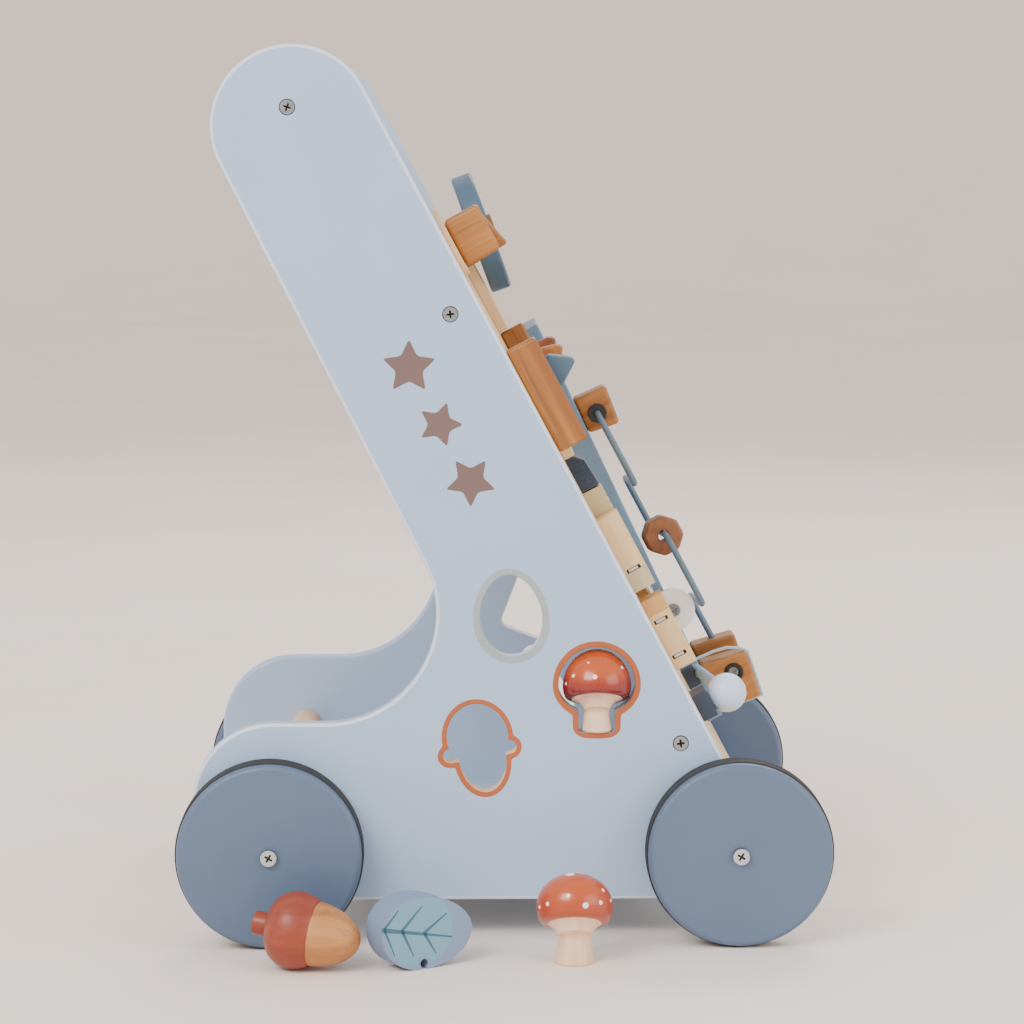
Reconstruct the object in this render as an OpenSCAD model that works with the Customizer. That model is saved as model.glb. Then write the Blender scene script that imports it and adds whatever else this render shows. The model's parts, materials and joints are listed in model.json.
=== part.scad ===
/* [Side panels] */
// Height of the walker from the floor to the top of the panels
height = 500; // [470:5:530]
// Thickness of each side panel
panel_t = 12; // [10:1:15]
// Clear width between the two side panels
inner_w = 240; // [230:5:260]
// Radius of the rounded head of a panel
head_r = 45; // [42:1:47]
// Lean of the front edge, in degrees from vertical
slope = 28.15; // [27:0.05:29]
// Height of the lower edge of a panel above the floor
panel_bottom = 22.4; // [18:0.2:25]
// Height of the flat deck behind the beam
deck_z = 123; // [118:1:126]

/* [Wheels] */
// Radius over the rubber ring
tyre_r = 52.5; // [50:0.5:55]
// Radius of the wooden wheel
wheel_r = 51.5; // [49:0.5:51.5]
// Thickness of the wooden wheel
wheel_t = 24; // [20:1:26]
// Distance between the front and the rear axle
wheelbase = 262; // [255:1:270]
// Radius of an axle bolt
axle_r = 3; // [2.5:0.25:4]

/* [Activity board] */
// Thickness of the plywood board
board_t = 8; // [6:1:9]
// Distance down the slope from the head to the board's upper edge
board_top = 88; // [84:1:92]
// Distance down the slope to the board's lower edge
board_end = 468; // [455:1:475]
// Side of the square rails behind the board
rail_w = 18; // [16:1:20]
// Radius of the steering wheel
steering_r = 36; // [32:1:37]
// Radius over the teeth of the play gears
gear_r = 24; // [22:0.5:25]
// Radius of the bead wire
wire_r = 2; // [1.5:0.25:2.5]

/* [Handle and floor] */
// Radius of the push handle
handle_r = 12.5; // [11:0.5:14]
// Radius of the rear crossbar
crossbar_r = 10; // [8:0.5:11]
// Thickness of the box floor
floor_t = 6; // [5:1:8]

/* [Hidden] */
$fn = 48;

// Faces of the side panels
inner_y = inner_w / 2;
outer_y = inner_y + panel_t;
// Slack that lets a fitted piece go in without rubbing
slack = 0.3;
// Running clearance between a turning piece and its shaft
run = 0.05;

// Centre of the rounded head of a panel
head_x = -116.8;
head_z = height - head_r;
// Hollow curve between the beam and the deck
curve_x = -100;
curve_r = 62;
curve_z = deck_z + curve_r;
// Rounded fender over the rear wheel
fender_x = -129.7;
fender_r = 45;
fender_z = deck_z - fender_r;
corner_r = 20;
// Lean of the beam's rear edge, which is tangent to the head and to the hollow curve
rear_reach = norm([curve_x - head_x, head_z - curve_z]);
rear_lean = asin((head_r + curve_r) / rear_reach) + atan2(curve_x - head_x, head_z - curve_z);
// Point where the sloping front edge starts; the board's elements are placed from here
slope_x = head_x + head_r * cos(slope);
slope_z = head_z + head_r * sin(slope);
// Centre of the rounded corner at the foot of the front edge
foot_z = panel_bottom + corner_r;
foot_x = slope_x - (corner_r + sin(slope) * (foot_z - slope_z)) / cos(slope);

// Openings of the shape sorter, on the right panel
egg_at = [3.7, 183.6];
mushroom_at = [51.7, 144.5];
acorn_at = [-14.1, 108.4];
acorn_tilt = 9;
// Openings of the left panel
square_at = [33.5, 158];
square_turn = 24;
triangle_at = [22.5, 102];

// Wheels
wheel_in_y = outer_y + 3;
wheel_out_y = wheel_in_y + wheel_t;
washer_t = 2.8;
bolt_head_r = 4.6;
bolt_head_t = 2.4;
tyre_w = 14;
groove_r = wheel_r - 2.5;

// Fixings of the cross members, down the slope and behind its line
upper_rail_at = 132;
lower_rail_at = 405;
rail_depth = board_t + rail_w / 2;
crossbar_at = [-121.7, 79];
handle_at = [-119.2, 465.5];
screw_head_r = 4.1;
screw_head_t = 2.2;
screw_shank_r = 2;
screw_len = 38;

// Box floor
floor_z = 44;
floor_x0 = -128;
floor_x1 = 146;

// Play rails on the board: near pair and far pair across the width
near_rail_y = -116;
near_rail_t = 16;
near_rail_h = 18;
far_rail_y = 12;
far_rail_t = 10;
far_rail_h = 15;
gear_rail_top = 166;
gear_rail_end = 230;
gear_axis = [198, 9.4];
gear_t = 14;
gear_rod_r = 3;

// Window cut through the board for the gears
gear_window = [168, 228];
window_y0 = -99;
window_y1 = 10;

// Xylophone
xylo_h = 13;
far_xylo_h = 8.5;
xylo_top = 274;
xylo_mid = 320;
xylo_mid_low = 326.5;
xylo_end = 370;
key_pitch = 18;
key_w = 14;
key_t = 2.5;
key_count = 5;
slot_at = [307.4, 340.4, 362.6];
slot_depth = 6;

// Bead maze
base_y0 = 30;
base_y1 = 108;
base_top = 168.5;
base_end = 432;
base_top_out = 22.4;
base_fall = 0.047;
near_wire_y = 21.5;
far_wire_y = 84;
bend_r = 6;
turn_1 = 281;
turn_2 = 317;
turn_3 = 365;
wire_end = 406;
// How far out of the board the wire runs: on the near side and on the far side, above and below its middle crossing
near_out_1 = 29;
near_out_2 = 31;
far_out_1 = 25.4;
far_out_2 = 26.2;
grommet_at = [233, near_out_1];
grommet_r = 5.6;
block_screw_at = [412, 28];
// Flat disc that turns on the near side of the bead base
spinner_at = [360, 13.6];
spinner_r = 13;
spinner_t = 4.6;
spinner_y = 27.2;
spinner_pin_r = 2;

// Steering wheel and dial
steering_at = [103.3, 12.4];
steering_y = 20;
steering_tilt = 8;
steering_t = 12.5;
hub_r = 9;
hub_t = 2.4;
plate_t = 6;
dial_y = -87;
dial_at = 98;
dial_r = 21;
dial_t = 3;
knob_at = dial_at + 2;

// Mallet
mallet_y = -96;
mallet_at = [398, 19];
mallet_r = 11.2;
mallet_drop = 5;
stick_r = 3.4;
stick_len = 118;

// Points along an arc in the upright plane
function arc(cx, cz, r, a0, a1, steps) =
  [for (i = [0:steps]) let (a = a0 + (a1 - a0) * i / steps) [cx + r * cos(a), cz + r * sin(a)]];

// Points round an ellipse whose lower half may have another height, and which may be narrower on top
function oval(rx, rz_up, rz_low, steps = 60, taper = 0) =
  [for (i = [0:steps - 1]) let (a = 360 * i / steps)
    [rx * cos(a) * (1 - taper * sin(a)), (a < 180 ? rz_up : rz_low) * sin(a)]];

// Stands a flat outline upright, from y0 towards +Y by the given thickness
module upright(y0, t) {
  translate([0, y0 + t, 0])
    rotate([90, 0, 0])
      linear_extrude(t)
        children();
}

// Puts children on the sloping front: down the slope, outwards from it, and across.
// Inside, +X points outwards, +Y across and +Z up the slope.
module on_slope(down, out = 0, y = 0) {
  translate([slope_x, 0, slope_z])
    rotate([0, -slope, 0])
      translate([out, y, -down])
        children();
}

// A block on the slope between two places down it, two heights out of it and two places across
module slope_block(d0, d1, out0, out1, y0, y1) {
  on_slope(d1, out0, y0)
    cube([out1 - out0, y1 - y0, d1 - d0]);
}

// A block whose side view is a list of places on the slope, each one down it and out of it
module slope_prism(places, y0, y1) {
  on_slope(0, 0, y1)
    rotate([90, 0, 0])
      linear_extrude(y1 - y0)
        polygon([for (place = places) [place[1], -place[0]]]);
}

// A rod along Y, from y0 to y1
module rod_y(r, y0, y1) {
  translate([0, y1, 0])
    rotate([90, 0, 0])
      cylinder(r = r, h = y1 - y0);
}

module side_outline() {
  polygon(concat(
    arc(head_x, head_z, head_r, slope, 180 + rear_lean, 44),
    arc(curve_x, curve_z, curve_r, rear_lean, -90, 28),
    arc(fender_x, fender_z, fender_r, 90, 180, 20),
    arc(fender_x - fender_r + corner_r, foot_z, corner_r, 180, 270, 10),
    arc(foot_x, foot_z, corner_r, -90, slope, 12)
  ));
}

module egg_outline() {
  translate(egg_at)
    rotate(6)
      polygon(oval(17.4, 23, 23, 60, 0.1));
}

module mushroom_outline() {
  translate(mushroom_at) {
    polygon(oval(21.4, 21.4, 17));
    translate([-10.2, -27.1])
      square([20.4, 20]);
  }
}

module acorn_outline() {
  translate(acorn_at)
    rotate(acorn_tilt) {
      translate([0, 6])
        polygon(oval(17.3, 19.6, 10));
      translate([1, -6])
        polygon(oval(13.2, 10, 19));
      translate([-17, -5.5])
        square([34, 8]);
      for (side = [-1, 1])
        translate([side * 17, -1.5])
          circle(4);
    }
}

// Straight sides joined by rounded corners; the first corner points along turn
module rounded_polygon(sides, reach, round_corner, turn) {
  polygon([for (k = [0:sides - 1]) let (a = turn + 360 * k / sides) each arc(
    reach * cos(a), reach * sin(a), round_corner, a - 180 / sides, a + 180 / sides, 10
  )]);
}

module square_outline() {
  translate(square_at)
    rounded_polygon(4, 29, 5, square_turn);
}

module triangle_outline() {
  translate(triangle_at)
    rounded_polygon(3, 20, 8, 90);
}

// Holes that the fixings go through, seen from the side
module fixing_holes(r) {
  translate(handle_at)
    circle(r);
  translate(crossbar_at)
    circle(r);
  for (down = [upper_rail_at, lower_rail_at])
    translate([
      slope_x + down * sin(slope) - rail_depth * cos(slope),
      slope_z - down * cos(slope) - rail_depth * sin(slope)
    ])
      circle(r);
}

module axle_holes(r) {
  for (side = [-1, 1])
    translate([side * wheelbase / 2, tyre_r])
      circle(r);
}

module right_side_panel() {
  color("#b4bdc8")
    difference() {
      upright(-outer_y, panel_t)
        difference() {
          side_outline();
          egg_outline();
          mushroom_outline();
          acorn_outline();
          fixing_holes(screw_shank_r);
          axle_holes(axle_r + slack);
        }
      upright(-outer_y - 1, screw_head_t + 1)
        fixing_holes(screw_head_r + slack);
    }
}

module left_side_panel() {
  color("#b4bdc8")
    difference() {
      upright(inner_y, panel_t)
        difference() {
          side_outline();
          square_outline();
          triangle_outline();
          fixing_holes(screw_shank_r);
          axle_holes(axle_r + slack);
        }
      upright(outer_y - screw_head_t, screw_head_t + 1)
        fixing_holes(screw_head_r + slack);
    }
}

module activity_board() {
  color("#dcc39c")
    difference() {
      slope_block(board_top, board_end, -board_t, 0, -inner_y, inner_y);
      slope_block(gear_window[0], gear_window[1], -board_t - 1, 1, window_y0, window_y1);
    }
}

// A round bar between the panels, drilled at both ends for its screws
module cross_bar(at, r) {
  translate([at[0], 0, at[1]])
    difference() {
      rod_y(r, -inner_y, inner_y);
      for (side = [-1, 1])
        mirror([0, side > 0 ? 1 : 0, 0])
          rod_y(screw_shank_r, -inner_y - 1, -outer_y + screw_len);
    }
}

module handle_bar() {
  color("#d9b48a")
    cross_bar(handle_at, handle_r);
}

module rear_crossbar() {
  color("#d9b48a")
    cross_bar(crossbar_at, crossbar_r);
}

module box_floor() {
  color("#b9c7d4")
    translate([floor_x0, -inner_y, floor_z - floor_t])
      cube([floor_x1 - floor_x0, inner_w, floor_t]);
}

module cross_rail(down) {
  difference() {
    slope_block(down - rail_w / 2, down + rail_w / 2, -board_t - rail_w, -board_t, -inner_y, inner_y);
    on_slope(down, -rail_depth)
      for (side = [-1, 1])
        mirror([0, side > 0 ? 1 : 0, 0])
          rod_y(screw_shank_r, -inner_y - 1, -outer_y + screw_len);
  }
}

module upper_rail() {
  color("#d9b48a")
    cross_rail(upper_rail_at);
}

module lower_rail() {
  color("#d9b48a")
    cross_rail(lower_rail_at);
}

// One countersunk screw through the right panel, with a cross recess
module panel_screw() {
  difference() {
    union() {
      rod_y(screw_head_r, -outer_y, -outer_y + screw_head_t);
      rod_y(screw_shank_r, -outer_y + screw_head_t, -outer_y + screw_len);
    }
    for (turn = [0, 90])
      rotate([0, turn + 20, 0])
        translate([-2.2, -outer_y - 1, -0.5])
          cube([4.4, 2, 1]);
  }
}

module panel_screws() {
  color("#c9ccd0")
    for (side = [-1, 1])
      mirror([0, side > 0 ? 1 : 0, 0]) {
        for (at = [handle_at, crossbar_at])
          translate([at[0], 0, at[1]])
            panel_screw();
        for (down = [upper_rail_at, lower_rail_at])
          on_slope(down, -rail_depth)
            panel_screw();
      }
}

// Carries a right-hand piece to one of the four wheels: front is 1 or -1, side is 1 for the left
module at_wheel(front, side) {
  translate([front * wheelbase / 2, 0, tyre_r])
    mirror([0, side > 0 ? 1 : 0, 0])
      children();
}

module wheel() {
  round_over = 3;
  rim = wheel_r - round_over;
  groove_y = (wheel_t - tyre_w) / 2;
  color("#8594a4")
    translate([0, -wheel_in_y, 0])
      rotate([90, 0, 0])
        rotate_extrude($fn = 96)
          polygon(concat(
            [[axle_r + run, 0]],
            arc(rim, round_over, round_over, -90, 0, 8),
            [
              [wheel_r, groove_y],
              [groove_r, groove_y],
              [groove_r, groove_y + tyre_w],
              [wheel_r, groove_y + tyre_w]
            ],
            arc(rim, wheel_t - round_over, round_over, 0, 90, 8),
            [[axle_r + run, wheel_t]]
          ));
}

module tyre() {
  groove_y = (wheel_t - tyre_w) / 2;
  color("#26262a")
    translate([0, -wheel_in_y - groove_y, 0])
      rotate([90, 0, 0])
        difference() {
          cylinder(r = tyre_r, h = tyre_w, $fn = 96);
          translate([0, 0, -1])
            cylinder(r = groove_r, h = tyre_w + 2, $fn = 96);
        }
}

module rear_right_wheel() { at_wheel(-1, -1) wheel(); }
module rear_left_wheel() { at_wheel(-1, 1) wheel(); }
module front_right_wheel() { at_wheel(1, -1) wheel(); }
module front_left_wheel() { at_wheel(1, 1) wheel(); }
module rear_right_tyre() { at_wheel(-1, -1) tyre(); }
module rear_left_tyre() { at_wheel(-1, 1) tyre(); }
module front_right_tyre() { at_wheel(1, -1) tyre(); }
module front_left_tyre() { at_wheel(1, 1) tyre(); }

module each_wheel() {
  for (front = [-1, 1])
    for (side = [-1, 1])
      at_wheel(front, side)
        children();
}

module axle_bolts() {
  head_y = -wheel_out_y - 0.3;
  color("#d5d8dc")
    each_wheel()
      difference() {
        union() {
          rod_y(bolt_head_r, head_y - bolt_head_t, head_y);
          rod_y(axle_r, head_y, -inner_y + 7);
        }
        for (turn = [0, 90])
          rotate([0, turn + 30, 0])
            translate([-2.4, head_y - bolt_head_t - 1, -0.55])
              cube([4.8, 2.2, 1.1]);
      }
}

module axle_washers() {
  color("#c2c6ca")
    each_wheel()
      difference() {
        rod_y(8, -outer_y - washer_t, -outer_y);
        rod_y(axle_r, -outer_y - washer_t - 1, -outer_y + 1);
      }
}

module axle_nuts() {
  color("#c2c6ca")
    each_wheel()
      difference() {
        translate([0, -inner_y + 5, 0])
          rotate([90, 0, 0])
            cylinder(r = 5.8, h = 5, $fn = 6);
        rod_y(axle_r, -inner_y - 1, -inner_y + 6);
      }
}

// Puts children on the steering axis: +X is along it and outwards, with its origin at the wheel's back
module on_steering() {
  on_slope(steering_at[0], steering_at[1], steering_y)
    rotate([0, steering_tilt, 0])
      children();
}

// A round disc whose axis is +X
module disc_x(r, x0, x1) {
  translate([x0, 0, 0])
    rotate([0, 90, 0])
      cylinder(r = r, h = x1 - x0);
}

// Hole for the screw that the steering wheel turns on
module steering_hole() {
  on_steering()
    disc_x(2.5, -10, 5);
}

module steering_plate() {
  color("#dcc39c")
    difference() {
      slope_block(90, 161, 0, plate_t, 0, 112);
      steering_hole();
    }
}

module steering_wedge() {
  wedge_half = 15;
  back = steering_at[1] - slack;
  color("#bd875c")
    difference() {
      on_slope(steering_at[0], 0, steering_y)
        translate([0, 18, 0])
          rotate([90, 0, 0])
            linear_extrude(36)
              polygon([
                [plate_t, -wedge_half],
                [back - wedge_half * tan(steering_tilt), -wedge_half],
                [back + wedge_half * tan(steering_tilt), wedge_half],
                [plate_t, wedge_half]
              ]);
      steering_hole();
    }
}

module steering_wheel() {
  ring_in = steering_r - 9;
  color("#6f8ba3")
    on_steering()
      difference() {
        disc_x(steering_r, 0, steering_t);
        disc_x(3 + run, -1, steering_t);
        disc_x(5.5, steering_t - 2, steering_t + 1);
        for (k = [0:2])
          rotate([120 * k, 0, 0])
            translate([-1, 0, 0])
              rotate([0, 90, 0])
                linear_extrude(steering_t + 2)
                  polygon(concat(
                    arc(0, 0, ring_in, 22, 98, 12),
                    arc(0, 0, 15.5, 84, 36, 6)
                  ));
      }
}

module steering_hub() {
  color("#bd875c")
    on_steering()
      difference() {
        disc_x(hub_r, steering_t, steering_t + hub_t);
        disc_x(5.5, steering_t - 1, steering_t + hub_t + 1);
      }
}

// Wooden block beside the dial, its outer face leaning
module leaning_block() {
  color("#bd875c")
    slope_prism([[92, 0], [92, 24.1], [114.5, 29.8], [116.8, 0]], -62, -44);
}

// A screw along +X with a pan head and a cross recess; its head sits on out
module pan_screw(r, len, head_r, head_t) {
  difference() {
    union() {
      disc_x(r, -len, 0);
      disc_x(head_r, 0, head_t);
    }
    for (turn = [0, 90])
      rotate([turn + 15, 0, 0])
        translate([head_t - 1.2, -head_r * 0.55, -0.5])
          cube([2, head_r * 1.1, 1]);
  }
}

module dial_plate() {
  color("#d8b58a")
    on_slope(dial_at, 0, dial_y)
      difference() {
        disc_x(dial_r, 0, dial_t);
        translate([0, 0, dial_at - knob_at])
          disc_x(2.5, -1, dial_t + 1);
      }
}

module dial_knob() {
  knob_l = 28.4;
  knob_w = 24;
  knob_out = 24.7;
  color("#bd875c")
    on_slope(knob_at, 0, dial_y)
      difference() {
        translate([dial_t + slack, -knob_w / 2, -knob_l / 2])
          cube([knob_out - dial_t - slack, knob_w, knob_l]);
        disc_x(2.5 + run, 0, 12);
        disc_x(5.5, 12, knob_out + 1);
      }
}

// Screws that hold the turning pieces and one wire block to the board
module board_screws() {
  steering_head = steering_t - 1.7;
  color("#c9ccd0") {
    on_steering()
      union() {
        disc_x(2.5, -10, -slack);
        translate([steering_head, 0, 0])
          pan_screw(3, steering_head + slack, 5, 2.7);
      }
    on_slope(knob_at, 12.3, dial_y)
      pan_screw(2.5, 18, 4.8, 2.7);
    on_slope(spinner_at[0], spinner_at[1], spinner_y - spinner_t / 2 - 0.3)
      rotate([0, 0, -90])
        pan_screw(spinner_pin_r, spinner_t + 6, 4, 1.6);
    on_slope(block_screw_at[0], block_screw_at[1], base_y0 + 2.6)
      rotate([0, 0, -90])
        pan_screw(2, 16, 3.2, 1.8);
  }
}

module gear_rails() {
  color("#bd875c")
    difference() {
      union() {
        slope_block(gear_rail_top, gear_rail_end, 0, near_rail_h, near_rail_y, near_rail_y + near_rail_t);
        slope_block(gear_rail_top - 3.5, gear_rail_end, 0, far_rail_h, far_rail_y, far_rail_y + far_rail_t);
      }
      on_slope(gear_axis[0], gear_axis[1])
        rod_y(gear_rod_r, near_rail_y + 5, far_rail_y + far_rail_t - 4);
    }
}

module gear_rod() {
  color("#d9b48a")
    on_slope(gear_axis[0], gear_axis[1])
      rod_y(gear_rod_r, near_rail_y + 5, far_rail_y + far_rail_t - 4);
}

// A play gear with two hooked teeth on the rod, its first tooth turned up the slope from straight out
module play_gear(y, r, turn) {
  on_slope(gear_axis[0], gear_axis[1], y)
    rotate([0, -turn, 0])
      difference() {
        translate([0, gear_t / 2, 0])
          rotate([90, 0, 0])
            linear_extrude(gear_t)
              polygon([for (k = [0:1]) let (a = -180 * k) each [
                [0.88 * r * cos(a + 38), 0.88 * r * sin(a + 38)],
                [r * cos(a + 4), r * sin(a + 4)],
                [r * cos(a - 4), r * sin(a - 4)],
                [0.4 * r * cos(a - 32), 0.4 * r * sin(a - 32)]
              ]]);
        rod_y(gear_rod_r + run, -gear_t, gear_t);
      }
}

module gear_blue() { color("#71899a") play_gear(-86, gear_r, 23); }
module gear_beech() { color("#c9965f") play_gear(-58, gear_r + 2, 43); }
module gear_brown() { color("#a3623c") play_gear(-30, gear_r + 4, 52); }
module gear_pale() { color("#8fb0c4") play_gear(-4, gear_r, 36); }

module board_lath() {
  color("#e6d6ba")
    slope_block(230.6, 236.8, 0, 6.5, -98, 9);
}

// Felt-covered block with one long edge cut off
module navy_block() {
  color("#3c4a5a")
    slope_prism([[237.4, 0], [237.6, 5.9], [241.7, 10], [257.6, 11.2], [257.8, 0]], -98, -78);
}

// Block with ribs along its outer face
module ribbed_block() {
  ribs = 4;
  steps = 6;
  start = 258.4;
  rib_w = 4.1;
  color("#b8ab8c")
    slope_prism(concat(
      [[start, 0]],
      [for (i = [0:ribs * steps]) [start + 0.3 + rib_w * i / steps, 10.6 + 1.3 * abs(sin(180 * i / steps))]],
      [[start + 0.6 + rib_w * ribs, 0]]
    ), -98, -78);
}

module xylophone_rails() {
  color("#cfb497")
    difference() {
      for (y = [near_rail_y, far_rail_y]) {
        t = y < 0 ? near_rail_t : far_rail_t;
        h = y < 0 ? xylo_h : far_xylo_h;
        slope_block(xylo_top, xylo_mid, 0, h, y, y + t);
        slope_block(xylo_mid_low, xylo_end, 0, h, y, y + t);
      }
      for (down = slot_at)
        slope_block(down - 1.2, down + 1.2, 1.5, 10, near_rail_y - 1, near_rail_y + slot_depth);
      slot_pins();
    }
}

module xylophone_rests() {
  rest_w = 8;
  color("#e6d6ba")
    for (y = [-78, -14])
      slope_block(xylo_top + 9, xylo_end, 0, 6, y, y + rest_w);
}

module xylophone_keys() {
  color("#c7ccd2")
    for (k = [0:key_count - 1])
      slope_block(
        xylo_top + 9 + k * key_pitch, xylo_top + 9 + k * key_pitch + key_w,
        6, 6 + key_t, -98 + 3 * k, 10 - 3 * k
      );
}

// Flat pins that stand in the slots and are sunk in the rail behind them
module slot_pins() {
  for (down = slot_at)
    slope_block(down - 0.9, down + 0.9, 2.5, 8.5, near_rail_y + 1, near_rail_y + 2 * slot_depth);
}

module xylophone_pins() {
  color("#c9ccd0")
    slot_pins();
}

// Height of the bead base over the board, which falls away down the slope
function base_out(down) = base_top_out - (down - base_top) * base_fall;

// Outlines of the three blocks on the base; they lean towards its lower end
upper_block = [[219, base_out(219)], [220.6, 41.2], [244.8, 38.2], [241.6, base_out(241.6)]];
front_block = [[398, base_out(398)], [404.7, 40.9], [432.8, 36.3], [429.8, base_out(429.8)]];
rear_block = [[392.4, base_out(392.4)], [398.2, 39.5], [420, 36.2], [417, base_out(417)]];

module bead_base() {
  color("#8da9bd")
    slope_prism([
      [base_top, 0], [base_top, base_out(base_top)], [base_end, base_out(base_end)], [base_end, 0]
    ], base_y0, base_y1);
}

module upper_wire_block() {
  color("#bd875c")
    difference() {
      slope_prism(upper_block, base_y0, 52);
      on_slope(grommet_at[0], grommet_at[1]) {
        rod_y(grommet_r, base_y0 - 1, base_y0 + 4);
        rod_y(wire_r, base_y0, 44);
      }
    }
}

module lower_front_block() {
  color("#bd875c")
    difference() {
      slope_prism(front_block, base_y0, 54);
      on_slope(block_screw_at[0], block_screw_at[1]) {
        rod_y(grommet_r, base_y0 - 1, base_y0 + 4);
        rod_y(2, base_y0, base_y0 + 20);
      }
    }
}

module lower_rear_block() {
  color("#bd875c")
    difference() {
      slope_prism(rear_block, 73, 95);
      on_slope(wire_end, far_out_2, far_wire_y)
        cylinder(r = wire_r, h = 20);
    }
}

// Two black rings, the lower one filled by a screw
module wire_grommets() {
  color("#202226") {
    on_slope(grommet_at[0], grommet_at[1])
      difference() {
        rod_y(grommet_r, base_y0 - 1.2, base_y0 + 4);
        rod_y(wire_r, base_y0 - 3, base_y0 + 5);
      }
    on_slope(block_screw_at[0], block_screw_at[1])
      difference() {
        rod_y(grommet_r, base_y0 - 1.2, base_y0 + 4);
        rod_y(3.4, base_y0 - 3, base_y0 + 2.6);
        rod_y(2, base_y0, base_y0 + 5);
      }
  }
}

// Flat band round the lower front block; it bows away from the block's upper face
module block_band() {
  bow_out = [[394.6, base_out(394.6)], [395.4, 23], [397.2, 31.5], [400.8, 38], [405.4, 42.3]];
  bow_in = [[395.9, base_out(395.9)], [396.7, 22.8], [398.4, 31], [401.8, 37.2], front_block[1]];
  color("#a9c4d6")
    difference() {
      slope_prism(concat(bow_out, [[434.3, 37.5], [431.1, base_out(431.1)]]), 36, 40);
      slope_prism(concat(bow_in, [front_block[2], front_block[3], [429.8, 0], [395.9, 0]]), 35, 41);
    }
}

// Corners of the wire's route, each one out of the board, across, and up the slope
wire_corners = [
  [near_out_1, 44, -grommet_at[0]],
  [near_out_1, near_wire_y, -grommet_at[0]],
  [near_out_1, near_wire_y, -turn_1],
  [far_out_1, far_wire_y, -turn_1],
  [far_out_1, far_wire_y, -turn_2],
  [near_out_2, near_wire_y, -turn_2],
  [near_out_2, near_wire_y, -turn_3],
  [far_out_2, far_wire_y, -turn_3],
  [far_out_2, far_wire_y, -wire_end]
];
wire_sides = 10;
bend_steps = 5;

function unit(v) = v / norm(v);
function heading(i) = unit(wire_corners[i + 1] - wire_corners[i]);

// Route of the wire with round bends, each entry a place and the direction there
function wire_route() = concat(
  [[wire_corners[0], heading(0)]],
  [for (i = [1:len(wire_corners) - 2], k = [0:bend_steps]) let (a = 90 * k / bend_steps) [
    wire_corners[i] + bend_r * ((1 - cos(a)) * heading(i) - (1 - sin(a)) * heading(i - 1)),
    cos(a) * heading(i - 1) + sin(a) * heading(i)
  ]],
  [[wire_corners[len(wire_corners) - 1], heading(len(wire_corners) - 2)]]
);

// Steel wire, swept along its route as a closed tube
module bead_wire() {
  route = wire_route();
  rings = len(route);
  points = [for (stop = route) let (side = unit(cross(stop[1], [1, 0, 0])), out = cross(side, stop[1]))
    for (k = [0:wire_sides - 1]) let (a = 360 * k / wire_sides)
      stop[0] + wire_r * (sin(a) * out + cos(a) * side)];
  sides = [for (i = [0:rings - 2], k = [0:wire_sides - 1]) let (n = (k + 1) % wire_sides) [
    i * wire_sides + k, i * wire_sides + n, (i + 1) * wire_sides + n, (i + 1) * wire_sides + k
  ]];
  ends = [
    [for (k = [wire_sides - 1:-1:0]) k],
    [for (k = [0:wire_sides - 1]) (rings - 1) * wire_sides + k]
  ];
  color("#7f9bb0")
    on_slope(0)
      polyhedron(points, concat(sides, ends), convexity = 6);
}

// A bead on the middle crossing of the wire, lined up with it and hanging a little below its middle
module crossing_bead(r, y, t, sides) {
  crossing_w = far_wire_y - near_wire_y;
  crossing_rise = near_out_2 - far_out_1;
  crossing_out = near_out_2 - crossing_rise * (y - near_wire_y) / crossing_w;
  on_slope(turn_2 + 1, crossing_out - 0.6, y)
    rotate([0, 0, atan(crossing_rise / crossing_w)])
      difference() {
        translate([0, t / 2, 0])
          rotate([90, 22.5, 0])
            cylinder(r = r, h = t, $fn = sides);
        rod_y(3.4, -t, t);
      }
}

module octagon_bead() { color("#a8693f") crossing_bead(12.4, 38, 17, 8); }

// A flat disc on its screw, beside the bead base
module white_spinner() {
  color("#ece8e4")
    on_slope(spinner_at[0], spinner_at[1], spinner_y)
      difference() {
        rod_y(spinner_r, -spinner_t / 2, spinner_t / 2);
        rod_y(spinner_pin_r + run, -spinner_t, spinner_t);
      }
}

// Puts children on the mallet: +Y runs along the stick, from the centre of its head
module on_mallet() {
  on_slope(mallet_at[0], mallet_at[1], mallet_y)
    rotate([0, 0, mallet_drop])
      children();
}

module mallet_rests() {
  color("#2f3a48")
    difference() {
      union() {
        slope_block(389, 405, 0, 9, -107, -86);
        slope_block(392, 404, 0, 8, 2, 10);
      }
      on_mallet() {
        sphere(r = mallet_r + slack);
        translate([0, 0, -stick_r - slack])
          cube([40, stick_len + 5, 2 * (stick_r + slack)]);
        rod_y(stick_r + slack, 0, stick_len + 5);
      }
    }
}

module mallet_stick() {
  color("#9db6c8")
    on_mallet()
      rod_y(stick_r, mallet_r - 3, stick_len);
}

module mallet_head() {
  color("#c8d1db")
    on_mallet()
      difference() {
        sphere(r = mallet_r);
        rod_y(stick_r, mallet_r - 3, stick_len);
      }
}

// Puts children on a mushroom's cap, whose centre is this high; it leans back from the stem
module on_cap(centre_h, lean) {
  translate([0, 0, centre_h])
    rotate([-lean, 0, 0])
      children();
}

// Turned cap: a ball with its own heights above and below the widest place, cut flat underneath
module cap_shape(r, up, low, cut) {
  first = -asin(cut / low);
  rotate_extrude()
    polygon(concat(
      [[0, -cut]],
      [for (i = [0:5]) let (a = first - first * i / 6) [r * cos(a), low * sin(a)]],
      [for (i = [0:12]) let (a = 90 * i / 12) [r * cos(a), up * sin(a)]]
    ));
}

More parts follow.
